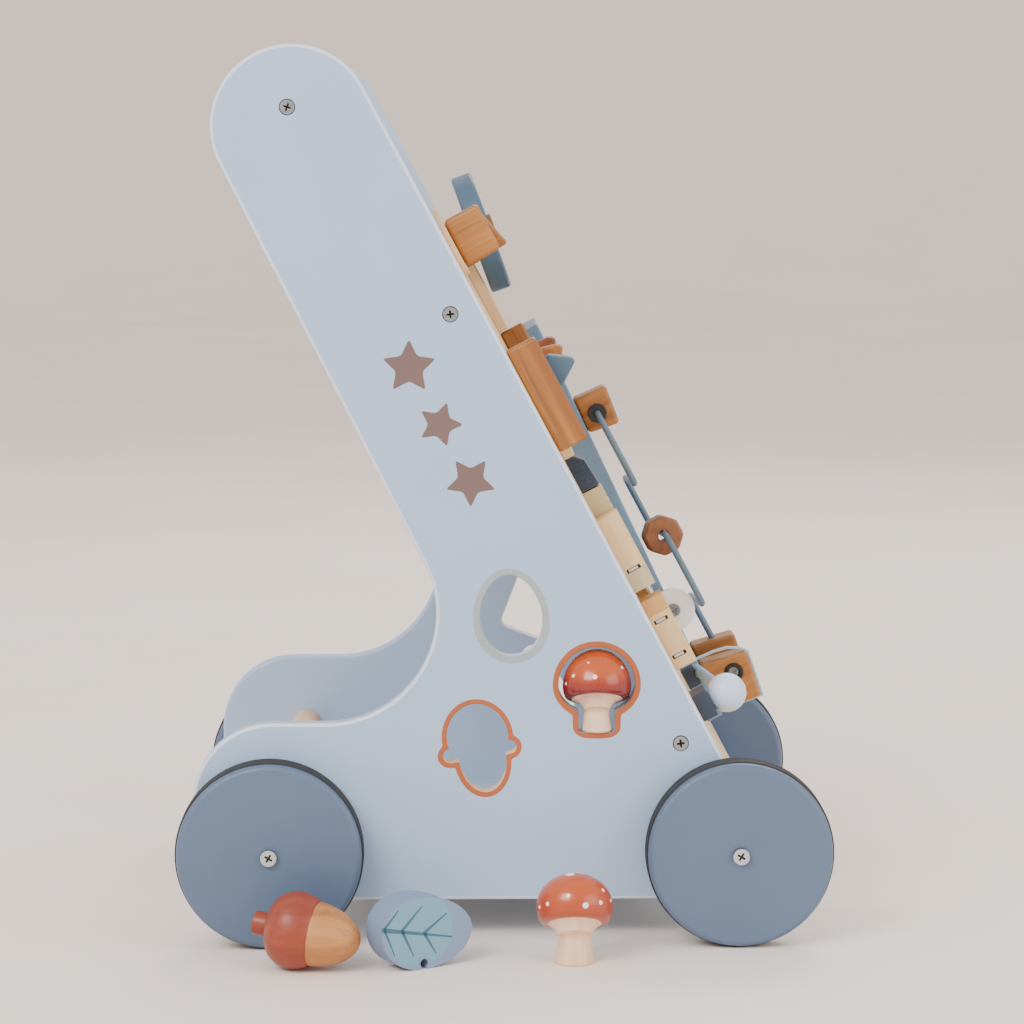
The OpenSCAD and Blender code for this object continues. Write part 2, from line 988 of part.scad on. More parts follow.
// Stem with its foot at the origin; it flares into the cut face of the leaning cap
module stem_shape(foot_r, waist_r, flare_r, centre_h, cut, lean) {
  difference() {
    union() {
      rotate_extrude()
        polygon([
          [0, 0], [foot_r - 1, 0], [foot_r, 1], [0.6 * foot_r + 0.4 * waist_r, 5], [waist_r, 11],
          [waist_r, centre_h], [0, centre_h]
        ]);
      on_cap(centre_h, lean)
        rotate_extrude()
          polygon([
            [0, -cut - 6], [waist_r, -cut - 6], [waist_r + 1.2, -cut - 3.5],
            [waist_r + 3.6, -cut - 1.2], [flare_r, -cut], [0, -cut]
          ]);
    }
    on_cap(centre_h, lean)
      translate([-30, -30, -cut])
        cube(60);
  }
}

hole_mushroom = [52, -outer_y + panel_t / 2, 117.5];
hole_cap_h = 25.5;
hole_cut = 7.5;
hole_lean = 22;
module mushroom_cap() {
  color("#bd5c3d")
    translate(hole_mushroom)
      on_cap(hole_cap_h, hole_lean)
        cap_shape(19.3, 21, 16.4, hole_cut);
}

module mushroom_stem() {
  color("#cfb4a2")
    translate(hole_mushroom)
      stem_shape(8.8, 7.2, 14.3, hole_cap_h, hole_cut, hole_lean);
}

loose_mushroom = [37.5, -188.5, 0];
loose_cap_h = 31;
loose_cut = 9.5;
loose_lean = 27;
module loose_mushroom_cap() {
  color("#bd5c3d")
    translate(loose_mushroom)
      on_cap(loose_cap_h, loose_lean)
        cap_shape(21, 18.3, 18, loose_cut);
}

module loose_mushroom_stem() {
  color("#cfb4a2")
    translate(loose_mushroom)
      stem_shape(11, 9.3, 14.6, loose_cap_h, loose_cut, loose_lean);
}

// Acorn lying on its side on the floor, its stalk towards the rear: +Z of the shape is its length,
// with the widest place of the cap at the origin
acorn_r = 21.2;
nut_r = 17.6;
nut_at = 11.2;
nut_l = 25.7;
module on_acorn() {
  translate([-114.7, -200, acorn_r + 0.15])
    rotate([0, 0, -14])
      rotate([0, 98, 0])
        children();
}

module acorn_nut() {
  color("#bf8b62")
    on_acorn()
      rotate_extrude()
        polygon(concat(
          [[0, nut_at]],
          [for (i = [0:14]) let (a = 90 * i / 14) [nut_r * cos(a), nut_at + nut_l * pow(sin(a), 1.15)]]
        ));
}

module acorn_cap() {
  shoulder_r = 7;
  shoulder_at = 15;
  color("#aa5436")
    on_acorn() {
      rotate_extrude()
        polygon(concat(
          [[0, -shoulder_at]],
          [for (i = [0:9]) let (a = 90 - 9 * i) [
            shoulder_r + (acorn_r - shoulder_r) * cos(a), -shoulder_at * sin(a)
          ]],
          [for (i = [0:6]) let (s = i / 6) [acorn_r - 2.4 * s * s, 10.4 * s]],
          [[18, nut_at], [0, nut_at]]
        ));
      translate([0, 0, -23.3])
        cylinder(r = shoulder_r - 0.4, h = 10);
    }
}

// Flat leaf-shaped block standing on its edge: an egg outline with its narrow end forwards
leaf_t = 18;
leaf_fall = 5;
leaf_points = [for (i = [0:71]) let (
  a = 5 * i,
  x = (cos(a) > 0 ? 33 : 23.2) * cos(a),
  z = (sin(a) > 0 ? 18.5 : 21.8) * sin(a)
) [x * cos(leaf_fall) + z * sin(leaf_fall), z * cos(leaf_fall) - x * sin(leaf_fall)]];
leaf_foot = min([for (place = leaf_points) place[1]]);

module leaf_block() {
  color("#93a9b9")
    translate([-47.1, -203.9, 0])
      rotate([0, 0, 30])
        translate([0, 0, -leaf_foot])
          upright(0, leaf_t)
            difference() {
              polygon(leaf_points);
              translate([3, leaf_foot + 3.2])
                circle(2.5);
              translate([1.4, leaf_foot - 1])
                square([3.2, 3]);
            }
}

right_side_panel();
left_side_panel();
activity_board();
handle_bar();
rear_crossbar();
box_floor();
upper_rail();
lower_rail();
panel_screws();
rear_right_wheel();
rear_left_wheel();
front_right_wheel();
front_left_wheel();
rear_right_tyre();
rear_left_tyre();
front_right_tyre();
front_left_tyre();
axle_bolts();
axle_washers();
axle_nuts();
steering_plate();
steering_wedge();
steering_wheel();
steering_hub();
dial_plate();
dial_knob();
leaning_block();
board_screws();
gear_rails();
gear_rod();
gear_blue();
gear_beech();
gear_brown();
gear_pale();
board_lath();
navy_block();
ribbed_block();
xylophone_rails();
xylophone_rests();
xylophone_keys();
xylophone_pins();
bead_base();
upper_wire_block();
lower_front_block();
lower_rear_block();
wire_grommets();
block_band();
bead_wire();
octagon_bead();
white_spinner();
mallet_rests();
mallet_stick();
mallet_head();
mushroom_cap();
mushroom_stem();
loose_mushroom_cap();
loose_mushroom_stem();
acorn_cap();
acorn_nut();
leaf_block();
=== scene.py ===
import json
import math

import bmesh
import bpy
from mathutils import Matrix, Vector


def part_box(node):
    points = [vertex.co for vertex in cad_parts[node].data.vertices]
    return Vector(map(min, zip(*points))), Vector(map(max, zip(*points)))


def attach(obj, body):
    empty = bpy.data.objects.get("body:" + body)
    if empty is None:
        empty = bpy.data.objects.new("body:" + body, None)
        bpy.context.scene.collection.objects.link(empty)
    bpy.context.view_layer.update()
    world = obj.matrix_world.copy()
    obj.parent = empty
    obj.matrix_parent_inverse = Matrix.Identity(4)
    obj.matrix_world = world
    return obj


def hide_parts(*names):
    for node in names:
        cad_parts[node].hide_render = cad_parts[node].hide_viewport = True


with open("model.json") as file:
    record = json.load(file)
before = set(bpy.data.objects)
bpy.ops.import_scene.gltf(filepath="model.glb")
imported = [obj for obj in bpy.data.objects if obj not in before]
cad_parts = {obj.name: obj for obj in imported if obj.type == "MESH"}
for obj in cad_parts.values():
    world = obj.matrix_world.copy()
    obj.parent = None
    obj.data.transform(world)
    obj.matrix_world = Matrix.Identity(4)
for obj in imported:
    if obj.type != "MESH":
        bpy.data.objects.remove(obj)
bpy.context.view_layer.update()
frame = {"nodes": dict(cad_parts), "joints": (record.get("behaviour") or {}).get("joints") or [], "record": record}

MM = 0.001
NODES = frame["nodes"]
BODY_OF = {node: body for body, group in frame["record"]["behaviour"]["bodies"].items() for node in group}
SLOT_OF = {part["node"]: part["material_slot"] for part in frame["record"]["subparts"]}
JOINT = {joint["name"]: joint for joint in frame["joints"]}

# ---------------------------------------------------------------- driving sizes, in metres

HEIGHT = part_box("right_side_panel")[1].z
PANEL_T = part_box("right_side_panel")[1].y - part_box("right_side_panel")[0].y
OUTER_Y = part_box("left_side_panel")[1].y
INNER_Y = OUTER_Y - PANEL_T
PANEL_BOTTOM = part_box("right_side_panel")[0].z
SLOPE = math.degrees(math.asin(JOINT["mallet_lift"]["axis"][2]))
HEAD_R = 45 * MM
HEAD_X = -116.8 * MM
HEAD_Z = HEIGHT - HEAD_R
CURVE_X = -100 * MM
CURVE_R = 62 * MM
DECK_Z = 123 * MM
CURVE_Z = DECK_Z + CURVE_R
FENDER_X = -129.7 * MM
FENDER_R = 45 * MM
FENDER_Z = DECK_Z - FENDER_R
CORNER_R = 20 * MM

OUT = Vector((math.cos(math.radians(SLOPE)), 0, math.sin(math.radians(SLOPE))))
DOWN = Vector((OUT.z, 0, -OUT.x))
ACROSS = Vector((0, 1, 0))
SLOPE_TOP = Vector((HEAD_X, 0, HEAD_Z)) + HEAD_R * OUT


def on_slope(down, out, across=0.0):
    """A point on the sloping front: down it, outwards from it and across it."""
    return SLOPE_TOP + down * DOWN + out * OUT + across * ACROSS


# ---------------------------------------------------------------- camera, light and floor

CAMERA_AT = Vector((-27.1, -1992.5, 442.1)) * MM
CAMERA_PITCH = 6.14
CAMERA_YAW = 0.965
LENS = 118.3
SENSOR_WIDTH = 36
CLIP_START, CLIP_END = 0.05, 50
LIGHT_AIM = (0, 0, 0.2)
LIGHTS = [
    # name, place, width and height, power, colour
    ("key", (-1.3, -2.0, 1.9), (1.4, 1.1), 60, (1.0, 0.985, 0.965)),
    ("fill", (1.9, -1.4, 1.0), (1.8, 1.4), 22, (1.0, 0.975, 0.95)),
    ("rim", (0.6, 1.8, 1.9), (1.6, 1.0), 26, (1.0, 0.99, 0.97)),
]
SKY_COLOUR = (0.96, 0.95, 0.94, 1)
SKY_STRENGTH = 1.12


def make_camera():
    data = bpy.data.cameras.new("camera")
    data.lens = LENS
    data.sensor_width = SENSOR_WIDTH
    data.clip_start = CLIP_START
    data.clip_end = CLIP_END
    camera = bpy.data.objects.new("camera", data)
    camera.location = CAMERA_AT
    camera.rotation_euler = (math.radians(90 - CAMERA_PITCH), 0, math.radians(-CAMERA_YAW))
    bpy.context.scene.collection.objects.link(camera)
    bpy.context.scene.camera = camera


def area_light(name, place, target, size, power, colour):
    data = bpy.data.lights.new(name, "AREA")
    data.shape = "RECTANGLE"
    data.size, data.size_y = size
    data.energy = power
    data.color = colour
    light = bpy.data.objects.new(name, data)
    light.location = place
    light.rotation_euler = (Vector(target) - Vector(place)).to_track_quat("-Z", "Y").to_euler()
    bpy.context.scene.collection.objects.link(light)


def make_lights():
    for name, place, size, power, colour in LIGHTS:
        area_light(name, place, LIGHT_AIM, size, power, colour)
    world = bpy.data.worlds.new("studio")
    world.use_nodes = True
    back = world.node_tree.nodes["Background"]
    back.inputs["Color"].default_value = SKY_COLOUR
    back.inputs["Strength"].default_value = SKY_STRENGTH
    bpy.context.scene.world = world


def make_floor():
    """A pale floor that curves up into a pale backdrop far behind the walker."""
    half, front, back = 9.0, -6.0, 7.0
    turn, top, steps = 1.5, 6.0, 12
    profile = [(front, 0.0)]
    profile += [
        (back + turn * math.sin(a), turn - turn * math.cos(a))
        for a in (math.radians(90 * k / steps) for k in range(steps + 1))
    ]
    profile.append((back + turn, top))
    mesh = bpy.data.meshes.new("floor")
    verts = [(side * half, y, z) for y, z in profile for side in (-1, 1)]
    faces = [(2 * k, 2 * k + 1, 2 * k + 3, 2 * k + 2) for k in range(len(profile) - 1)]
    mesh.from_pydata(verts, [], faces)
    mesh.shade_smooth()
    floor = bpy.data.objects.new("floor", mesh)
    bpy.context.scene.collection.objects.link(floor)
    floor.data.materials.append(floor_material())


# ---------------------------------------------------------------- material helpers


class Nodes:
    """A short way to write a material's node tree."""

    def __init__(self, name):
        self.material = bpy.data.materials.new(name)
        self.material.use_nodes = True
        self.tree = self.material.node_tree
        self.shader = self.tree.nodes["Principled BSDF"]
        coord = self.tree.nodes.new("ShaderNodeTexCoord")
        self.place = coord.outputs["Object"]

    def add(self, kind, **settings):
        node = self.tree.nodes.new(kind)
        for key, value in settings.items():
            setattr(node, key, value)
        return node

    def link(self, source, target):
        self.tree.links.new(source, target)

    def turned(self, turn):
        """Places turned about the origin, so that a grain can follow a leaning piece."""
        node = self.add("ShaderNodeMapping", vector_type="POINT")
        node.inputs["Rotation"].default_value = [math.radians(a) for a in turn]
        self.link(self.place, node.inputs["Vector"])
        return node.outputs["Vector"]

    def mapped(self, scale, turn=(0, 0, 0)):
        node = self.add("ShaderNodeMapping", vector_type="POINT")
        node.inputs["Scale"].default_value = scale
        self.link(self.turned(turn) if any(turn) else self.place, node.inputs["Vector"])
        return node.outputs["Vector"]

    def part(self, vector, axis):
        node = self.add("ShaderNodeSeparateXYZ")
        self.link(vector, node.inputs["Vector"])
        return node.outputs[axis]

    def noise(self, vector, scale, detail=4.0, rough=0.55, distort=0.0):
        node = self.add("ShaderNodeTexNoise")
        node.inputs["Scale"].default_value = scale
        node.inputs["Detail"].default_value = detail
        node.inputs["Roughness"].default_value = rough
        node.inputs["Distortion"].default_value = distort
        self.link(vector, node.inputs["Vector"])
        return node.outputs["Fac"]

    def ramp(self, value, stops, stepped=False):
        node = self.add("ShaderNodeValToRGB")
        ramp = node.color_ramp
        ramp.interpolation = "CONSTANT" if stepped else "LINEAR"
        while len(ramp.elements) < len(stops):
            ramp.elements.new(0.5)
        for element, (place, colour) in zip(ramp.elements, stops):
            element.position = place
            element.color = (*colour, 1)
        self.link(value, node.inputs["Fac"])
        return node.outputs["Color"]

    def spread(self, value, low, high, to_low, to_high):
        node = self.add("ShaderNodeMapRange")
        for key, number in (("From Min", low), ("From Max", high), ("To Min", to_low), ("To Max", to_high)):
            node.inputs[key].default_value = number
        self.link(value, node.inputs["Value"])
        return node.outputs["Result"]

    def maths(self, operation, a, b=None):
        node = self.add("ShaderNodeMath", operation=operation)
        for socket, value in zip(node.inputs, (a, b)):
            if value is None:
                continue
            if isinstance(value, (int, float)):
                socket.default_value = value
            else:
                self.link(value, socket)
        return node.outputs["Value"]

    def mix(self, factor, a, b, blend="MIX"):
        node = self.add("ShaderNodeMix", data_type="RGBA", blend_type=blend)
        for socket, value in zip((node.inputs[0], node.inputs[6], node.inputs[7]), (factor, a, b)):
            if isinstance(value, (int, float)):
                socket.default_value = value
            elif isinstance(value, tuple):
                socket.default_value = (*value, 1)
            else:
                self.link(value, socket)
        return node.outputs[2]

    def bump(self, heights, distance):
        """Bump from one or more (height, strength) pairs."""
        normal = None
        for height, strength in heights:
            node = self.add("ShaderNodeBump")
            node.inputs["Strength"].default_value = strength
            node.inputs["Distance"].default_value = distance
            self.link(height, node.inputs["Height"])
            if normal is not None:
                self.link(normal, node.inputs["Normal"])
            normal = node.outputs["Normal"]
        self.link(normal, self.shader.inputs["Normal"])

    def finish(self, colour, rough, metal=0.0, coat=0.0, coat_rough=0.2, sheen=0.0):
        inputs = self.shader.inputs
        if isinstance(colour, tuple):
            inputs["Base Color"].default_value = (*colour, 1)
        else:
            self.link(colour, inputs["Base Color"])
        if isinstance(rough, (int, float)):
            inputs["Roughness"].default_value = rough
        else:
            self.link(rough, inputs["Roughness"])
        inputs["Metallic"].default_value = metal
        inputs["Coat Weight"].default_value = coat
        inputs["Coat Roughness"].default_value = coat_rough
        inputs["Sheen Weight"].default_value = sheen
        return self.material


# Scale of a pattern that is the same in every direction
EVEN = (1, 1, 1)


def srgb(red, green, blue):
    """A colour given as the 0 to 255 numbers of a display, turned into linear light."""
    def channel(value):
        value /= 255
        return value / 12.92 if value <= 0.04045 else ((value + 0.055) / 1.055) ** 2.4
    return channel(red), channel(green), channel(blue)


def scaled(colour, factor):
    return tuple(min(1.0, channel * factor) for channel in colour)


def floor_material():
    m = Nodes("pale_floor")
    cloud = m.noise(m.mapped(EVEN), 2.2, 3)
    colour = m.ramp(cloud, [(0.35, srgb(249, 233, 221)), (0.7, srgb(253, 240, 230))])
    return m.finish(colour, 0.62)


def paint(name, colour, rough=0.42, tone=0.05):
    """Sprayed paint on wood: faint cloudiness, fine peel, and the grain just showing through."""
    m = Nodes(name)
    cloud = m.noise(m.mapped(EVEN), 14, 4, 0.6)
    low, high = scaled(colour, 1 - tone), scaled(colour, 1 + tone)
    base = m.ramp(cloud, [(0.3, low), (0.7, high)])
    peel = m.noise(m.mapped(EVEN), 1500, 2, 0.5)
    fibre = m.noise(m.mapped((1, 1, 0.06)), 420, 3, 0.6)
    worn = m.spread(m.noise(m.mapped(EVEN), 60, 3), 0.35, 0.7, rough - 0.05, rough + 0.09)
    m.bump([(fibre, 0.10), (peel, 0.07)], 0.0006)
    return m.finish(base, worn)


def wood_grain(m, turn, along):
    """Broad bands, fine lines and pores that run along one axis."""
    slim, fine = ([share if axis == along else 1 for axis in "xyz"] for share in (0.05, 0.02))
    band = m.noise(m.mapped(slim, turn), 170, 4, 0.62, 0.3)
    wide = m.noise(m.mapped(slim, turn), 48, 2, 0.5, 0.2)
    pore = m.noise(m.mapped(fine, turn), 1300, 2, 0.6)
    grain = m.maths("ADD", m.maths("MULTIPLY", band, 0.6), m.maths("MULTIPLY", wide, 0.4))
    return grain, band, pore


def wood(name, light, dark, turn=(0, 0, 0), along="z", contrast=1.0, coat=0.1, pores=0.5):
    """Oiled wood with its grain along one axis, which turn swings into place."""
    rough = 0.46
    m = Nodes(name)
    grain, band, pore = wood_grain(m, turn, along)
    middle = tuple((a + b) / 2 for a, b in zip(light, dark))
    half = 0.16 / contrast
    colour = m.ramp(grain, [(0.5 - half, dark), (0.5, middle), (0.5 + half, light)])
    fleck = m.spread(pore, 0.58, 0.75, 0.0, pores)
    colour = m.mix(fleck, colour, scaled(dark, 0.7))
    sheen = m.spread(band, 0.3, 0.7, rough + 0.06, rough - 0.05)
    m.bump([(band, 0.08), (pore, 0.14)], 0.0005)
    return m.finish(colour, sheen, coat=coat, coat_rough=0.3)


def height_graded_paint(name, low_z, high_z, stops, rough=0.24, coat=0.4):
    """Gloss paint whose colour runs through its stops between two heights; for the mushroom caps it is darker
    towards the bottom.
    """
    m = Nodes(name)
    height = m.spread(m.part(m.place, "Z"), low_z * MM, high_z * MM, 0.0, 1.0)
    cloud = m.spread(m.noise(m.mapped(EVEN), 45, 3), 0.3, 0.7, -0.05, 0.05)
    colour = m.ramp(m.maths("ADD", height, cloud), stops)
    fibre = m.noise(m.mapped((1, 1, 0.1)), 500, 3, 0.6)
    m.bump([(fibre, 0.06)], 0.0004)
    shine = m.spread(fibre, 0.3, 0.7, rough - 0.03, rough + 0.06)
    return m.finish(colour, shine, coat=coat, coat_rough=0.12)


def segmented_wood(name, start, end, stops):
    """Wooden bars along the slope whose stain changes at given places down it."""
    m = Nodes(name)
    turn = (0, SLOPE, 0)
    grain, band, pore = wood_grain(m, turn, "z")
    top = -(SLOPE_TOP.dot(DOWN))
    down = m.maths("ADD", m.maths("MULTIPLY", m.part(m.turned(turn), "Z"), -1.0), top)
    place = m.spread(down, start * MM, end * MM, 0.0, 1.0)
    stain = m.ramp(place, [((at - start) / (end - start), colour) for at, colour in stops], stepped=True)
    light = m.ramp(grain, [(0.34, (0.78, 0.75, 0.70)), (0.66, (1.0, 1.0, 1.0))])
    colour = m.mix(1.0, stain, light, "MULTIPLY")
    m.bump([(band, 0.08), (pore, 0.14)], 0.0005)
    return m.finish(colour, m.spread(band, 0.3, 0.7, 0.56, 0.44), coat=0.08, coat_rough=0.3)


def metal(name, colour, rough=0.3, brushed=EVEN, recess_shade_y=None):
    """Worked metal. With recess_shade_y, painted shade makes a screw's cross recess dark: it gives where the
    recess ends and the face begins.
    """
    m = Nodes(name)
    streak = m.noise(m.mapped(brushed), 700, 3, 0.6)
    tone = m.ramp(streak, [(0.3, scaled(colour, 0.86)), (0.7, colour)])
    if recess_shade_y:
        reach = m.maths("ABSOLUTE", m.part(m.place, "Y"))
        face = m.spread(reach, recess_shade_y[0] * MM, recess_shade_y[1] * MM, 0.0, 1.0)
        # Painted shade: near-black inside the recess, the metal's own tone on the face
        tone = m.mix(face, scaled(colour, 0.06), tone)
    m.bump([(streak, 0.08)], 0.0003)
    return m.finish(tone, m.spread(streak, 0.3, 0.7, rough - 0.07, rough + 0.1), metal=1.0)


def rubber(name, colour):
    m = Nodes(name)
    dust = m.noise(m.mapped(EVEN), 160, 4, 0.65)
    tone = m.ramp(dust, [(0.35, colour), (0.75, scaled(colour, 1.7))])
    m.bump([(m.noise(m.mapped(EVEN), 2400, 2), 0.2)], 0.0004)
    return m.finish(tone, 0.66)


def felt(name, colour):
    m = Nodes(name)
    tuft = m.noise(m.mapped(EVEN), 900, 5, 0.7)
    thread = m.noise(m.mapped((1, 0.15, 1)), 1300, 2, 0.6)
    tone = m.ramp(tuft, [(0.3, scaled(colour, 0.55)), (0.55, colour), (0.8, scaled(colour, 1.7))])
    m.bump([(tuft, 0.5), (thread, 0.3)], 0.0012)
    return m.finish(tone, 0.9, sheen=0.4)


def plastic(name, colour, rough):
    m = Nodes(name)
    fine = m.noise(m.mapped(EVEN), 1800, 2)
    cloud = m.noise(m.mapped(EVEN), 30, 3)
    tone = m.ramp(cloud, [(0.3, scaled(colour, 0.9)), (0.7, scaled(colour, 1.12))])
    m.bump([(fine, 0.12)], 0.0003)
    return m.finish(tone, rough)


PANEL = srgb(169, 189, 217)
# Painted highlight: a paint lighter than the face paint, for the panels' rounded edges and some hole walls, where
# light catches them
PANEL_HIGHLIGHT = srgb(212, 222, 238)
BEECH_LIGHT, BEECH_DARK = srgb(188, 124, 56), srgb(142, 82, 30)
PALE_LIGHT, PALE_DARK = srgb(242, 208, 166), srgb(222, 178, 128)
CREAM, TAN, GREY_BEIGE = srgb(238, 200, 146), srgb(218, 162, 96), srgb(206, 186, 148)
# The mushroom caps run from the deep colour at the bottom through red to orange at the top
MUSHROOM_ORANGE, MUSHROOM_RED, MUSHROOM_DEEP = srgb(190, 78, 20), srgb(142, 26, 8), srgb(98, 9, 4)
# Stains of the xylophone rails: where each one starts down the slope, in millimetres, and its colour
RAIL_START, RAIL_END = 270, 374
RAIL_STAINS = [(RAIL_START, CREAM), (307.4, GREY_BEIGE), (323, TAN), (336, CREAM)]


def make_materials():
    lean = (0, SLOPE, 0)
    return {
        "panel_paint": paint("panel_paint", PANEL, 0.46, 0.03),
        "panel_edge": paint("panel_edge", PANEL_HIGHLIGHT, 0.4, 0.03),
        "rim_grey": paint("rim_grey", srgb(158, 166, 168), 0.5, 0.05),
        "rim_orange": paint("rim_orange", srgb(170, 88, 44), 0.45, 0.08),
        "birch_ply": wood(
            "birch_ply", srgb(243, 212, 168), srgb(226, 188, 138), lean, contrast=0.8, pores=0.2
        ),
        "beech_pale": wood("beech_pale", PALE_LIGHT, PALE_DARK, along="y", pores=0.3),
        "floor_paint": paint("floor_paint", srgb(176, 196, 218), 0.5, 0.04),
        "steel": metal("steel", (0.62, 0.63, 0.65), 0.28),
        "screw_steel": metal("screw_steel", (0.27, 0.28, 0.29), 0.34),
        "panel_screw_steel": metal("panel_screw_steel", (0.36, 0.37, 0.38), 0.34, recess_shade_y=(131.2, 131.7)),
        "bolt_steel": metal("bolt_steel", (0.62, 0.63, 0.65), 0.28, recess_shade_y=(160.7, 161.3)),
        "wheel_paint": paint("wheel_paint", srgb(86, 104, 130), 0.42, 0.04),
        "rubber": rubber("rubber", (0.014, 0.014, 0.016)),
        "beech": wood("beech", BEECH_LIGHT, BEECH_DARK, lean, pores=0.7, contrast=1.25),
        "beech_across": wood(
            "beech_across", BEECH_LIGHT, BEECH_DARK, lean, along="x", pores=0.7, contrast=1.25
        ),
        "blue_paint": paint("blue_paint", srgb(72, 98, 120), 0.4, 0.06),
        "slate_paint": paint("slate_paint", srgb(74, 100, 120), 0.42, 0.06),
        "brown_paint": wood("brown_paint", srgb(146, 82, 40), srgb(112, 56, 26), lean, pores=0.4),
        "navy_felt": felt("navy_felt", srgb(48, 62, 80)),
        "sand_paint": paint("sand_paint", srgb(190, 172, 130), 0.55, 0.08),
        "cream_paint": segmented_wood("cream_paint", RAIL_START, RAIL_END, RAIL_STAINS),
        "key_steel": metal("key_steel", (0.70, 0.72, 0.74), 0.24, (1, 0.05, 1)),
        "base_paint": paint("base_paint", srgb(112, 142, 170), 0.42, 0.05),
        "black_plastic": plastic("black_plastic", (0.008, 0.008, 0.009), 0.18),
        "band_paint": plastic("band_paint", srgb(168, 196, 214), 0.35),
        "wire_paint": plastic("wire_paint", srgb(94, 116, 134), 0.3),
        "bead_stain": wood("bead_stain", srgb(158, 98, 52), srgb(120, 66, 32), along="y", pores=0.5),
        "white_paint": paint("white_paint", srgb(248, 244, 242), 0.4, 0.02),
        "navy_plastic": plastic("navy_plastic", srgb(50, 62, 80), 0.4),
        "pale_blue_paint": paint("pale_blue_paint", srgb(136, 166, 192), 0.4, 0.04),
        "ball_paint": paint("ball_paint", srgb(206, 222, 245), 0.34, 0.03),
        "acorn_stain": wood(
            "acorn_stain", srgb(154, 60, 24), srgb(122, 38, 14), along="x", pores=0.5, coat=0.25
        ),
        "acorn_wood": wood(
            "acorn_wood", srgb(198, 134, 70), srgb(150, 88, 40), along="x", pores=0.6, contrast=1.3
        ),
        "stem_wood": wood("stem_wood", srgb(248, 214, 182), srgb(228, 180, 142), along="z", pores=0.35),
        "red_paint": height_graded_paint(
            "red_paint", 128, 164, [(0.25, MUSHROOM_DEEP), (0.5, MUSHROOM_RED), (0.72, MUSHROOM_ORANGE)]
        ),
        "red_paint_loose": height_graded_paint(
            "red_paint_loose", 14, 52, [(0.1, MUSHROOM_RED), (0.8, MUSHROOM_ORANGE)], 0.3, 0.35
        ),
        "leaf_paint": paint("leaf_paint", srgb(122, 142, 170), 0.5, 0.04),
        "leaf_wash": paint("leaf_wash", srgb(112, 156, 174), 0.5, 0.06),
        "vein_paint": paint("vein_paint", srgb(54, 98, 120), 0.5, 0.05),
        "motif_paint": paint("motif_paint", srgb(112, 88, 82), 0.5, 0.04),
        "dot_paint": paint("dot_paint", srgb(250, 240, 230), 0.35, 0.02),
    }


# ---------------------------------------------------------------- mesh helpers


def new_piece(name, mesh, materials, body, replaces=()):
    piece = bpy.data.objects.new(name, mesh)
    bpy.context.scene.collection.objects.link(piece)
    for material in materials:
        piece.data.materials.append(MATERIAL[material])
    if replaces:
        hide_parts(*replaces)
    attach(piece, body)
    return piece


FLAT_FACE_WEIGHT = 80


def to_mesh(bm, name):
    mesh = bpy.data.meshes.new(name)
    bm.to_mesh(mesh)
    bm.free()
    return mesh


def smooth(piece, angle=32):
    """Smooth shading that keeps flat faces flat."""
    mesh = piece.data
    mesh.shade_smooth()
    mesh.set_sharp_from_angle(angle=math.radians(angle))
    weighted = piece.modifiers.new("flat_faces", "WEIGHTED_NORMAL")
    weighted.keep_sharp = True
    weighted.weight = FLAT_FACE_WEIGHT


# Edges shorter than this belong to drilled holes and small rounds, which get a small radius
SHORT_EDGE = 1.0 * MM
HOLE_EDGE_R = 0.4 * MM


def sharp_edges(bm, angle):
    limit = math.radians(angle)
    return [edge for edge in bm.edges if edge.is_manifold and edge.calc_face_angle(0) > limit]


def round_over(bm, edges, radius, segments):
    if edges:
        bmesh.ops.bevel(
            bm, geom=edges, offset=radius, offset_type="OFFSET", segments=segments,
            profile=0.5, affect="EDGES", clamp_overlap=True
        )


def soften(node, radius, segments, material=None, angle=30, smooth_angle=32):
    """A copy of a CAD node with clean faces and rounded edges, which stands for it."""
    bm = bmesh.new()
    bm.from_mesh(NODES[node].data)
    bmesh.ops.remove_doubles(bm, verts=bm.verts, dist=1e-6)
    bmesh.ops.dissolve_limit(
        bm, angle_limit=math.radians(1), verts=bm.verts, edges=bm.edges, use_dissolve_boundaries=False
    )
    bmesh.ops.recalc_face_normals(bm, faces=bm.faces)
    if radius:
        fine = bm.edges.layers.int.new("fine")
        sharp = sharp_edges(bm, angle)
        for edge in sharp:
            edge[fine] = edge.calc_length() < SHORT_EDGE
        round_over(bm, [edge for edge in sharp if not edge[fine]], radius * MM, segments)
        hole_edges = [edge for edge in sharp_edges(bm, angle) if edge[fine]]
        round_over(bm, hole_edges, min(radius * MM, HOLE_EDGE_R), 2)
    slot, mesh = SLOT_OF[node], to_mesh(bm, node + "_finished")
    piece = new_piece(node + "_finished", mesh, [material or slot], BODY_OF[node], (node,))
    smooth(piece, smooth_angle)


ON_AXIS = 1e-7


def lathe(profile, axis_at, axis_to, segments=96, closed=False):
    """Turns (radius, distance) points round the line from axis_at to axis_to; distances run along it."""
    axis = (Vector(axis_to) - Vector(axis_at)).normalized()
    side = axis.orthogonal().normalized()
    other = axis.cross(side)
    bm = bmesh.new()
    rings = []
    for radius, distance in profile:
        centre = Vector(axis_at) + axis * distance
        if radius < ON_AXIS:
            rings.append([bm.verts.new(centre)])
            continue
        rings.append([
            bm.verts.new(centre + radius * (math.cos(a) * side + math.sin(a) * other))
            for a in (2 * math.pi * k / segments for k in range(segments))
        ])
    pairs = list(zip(rings, rings[1:]))
    if closed:
        pairs.append((rings[-1], rings[0]))
    for low, high in pairs:
        for k in range(segments):
            n = (k + 1) % segments
            if len(low) == 1 and len(high) == 1:
                continue
            if len(low) == 1:
                bm.faces.new((low[0], high[k], high[n]))
            elif len(high) == 1:
                bm.faces.new((low[k], high[0], low[n]))
            else:
                bm.faces.new((low[k], high[k], high[n], low[n]))
    bmesh.ops.recalc_face_normals(bm, faces=bm.faces)
    return to_mesh(bm, "turned")


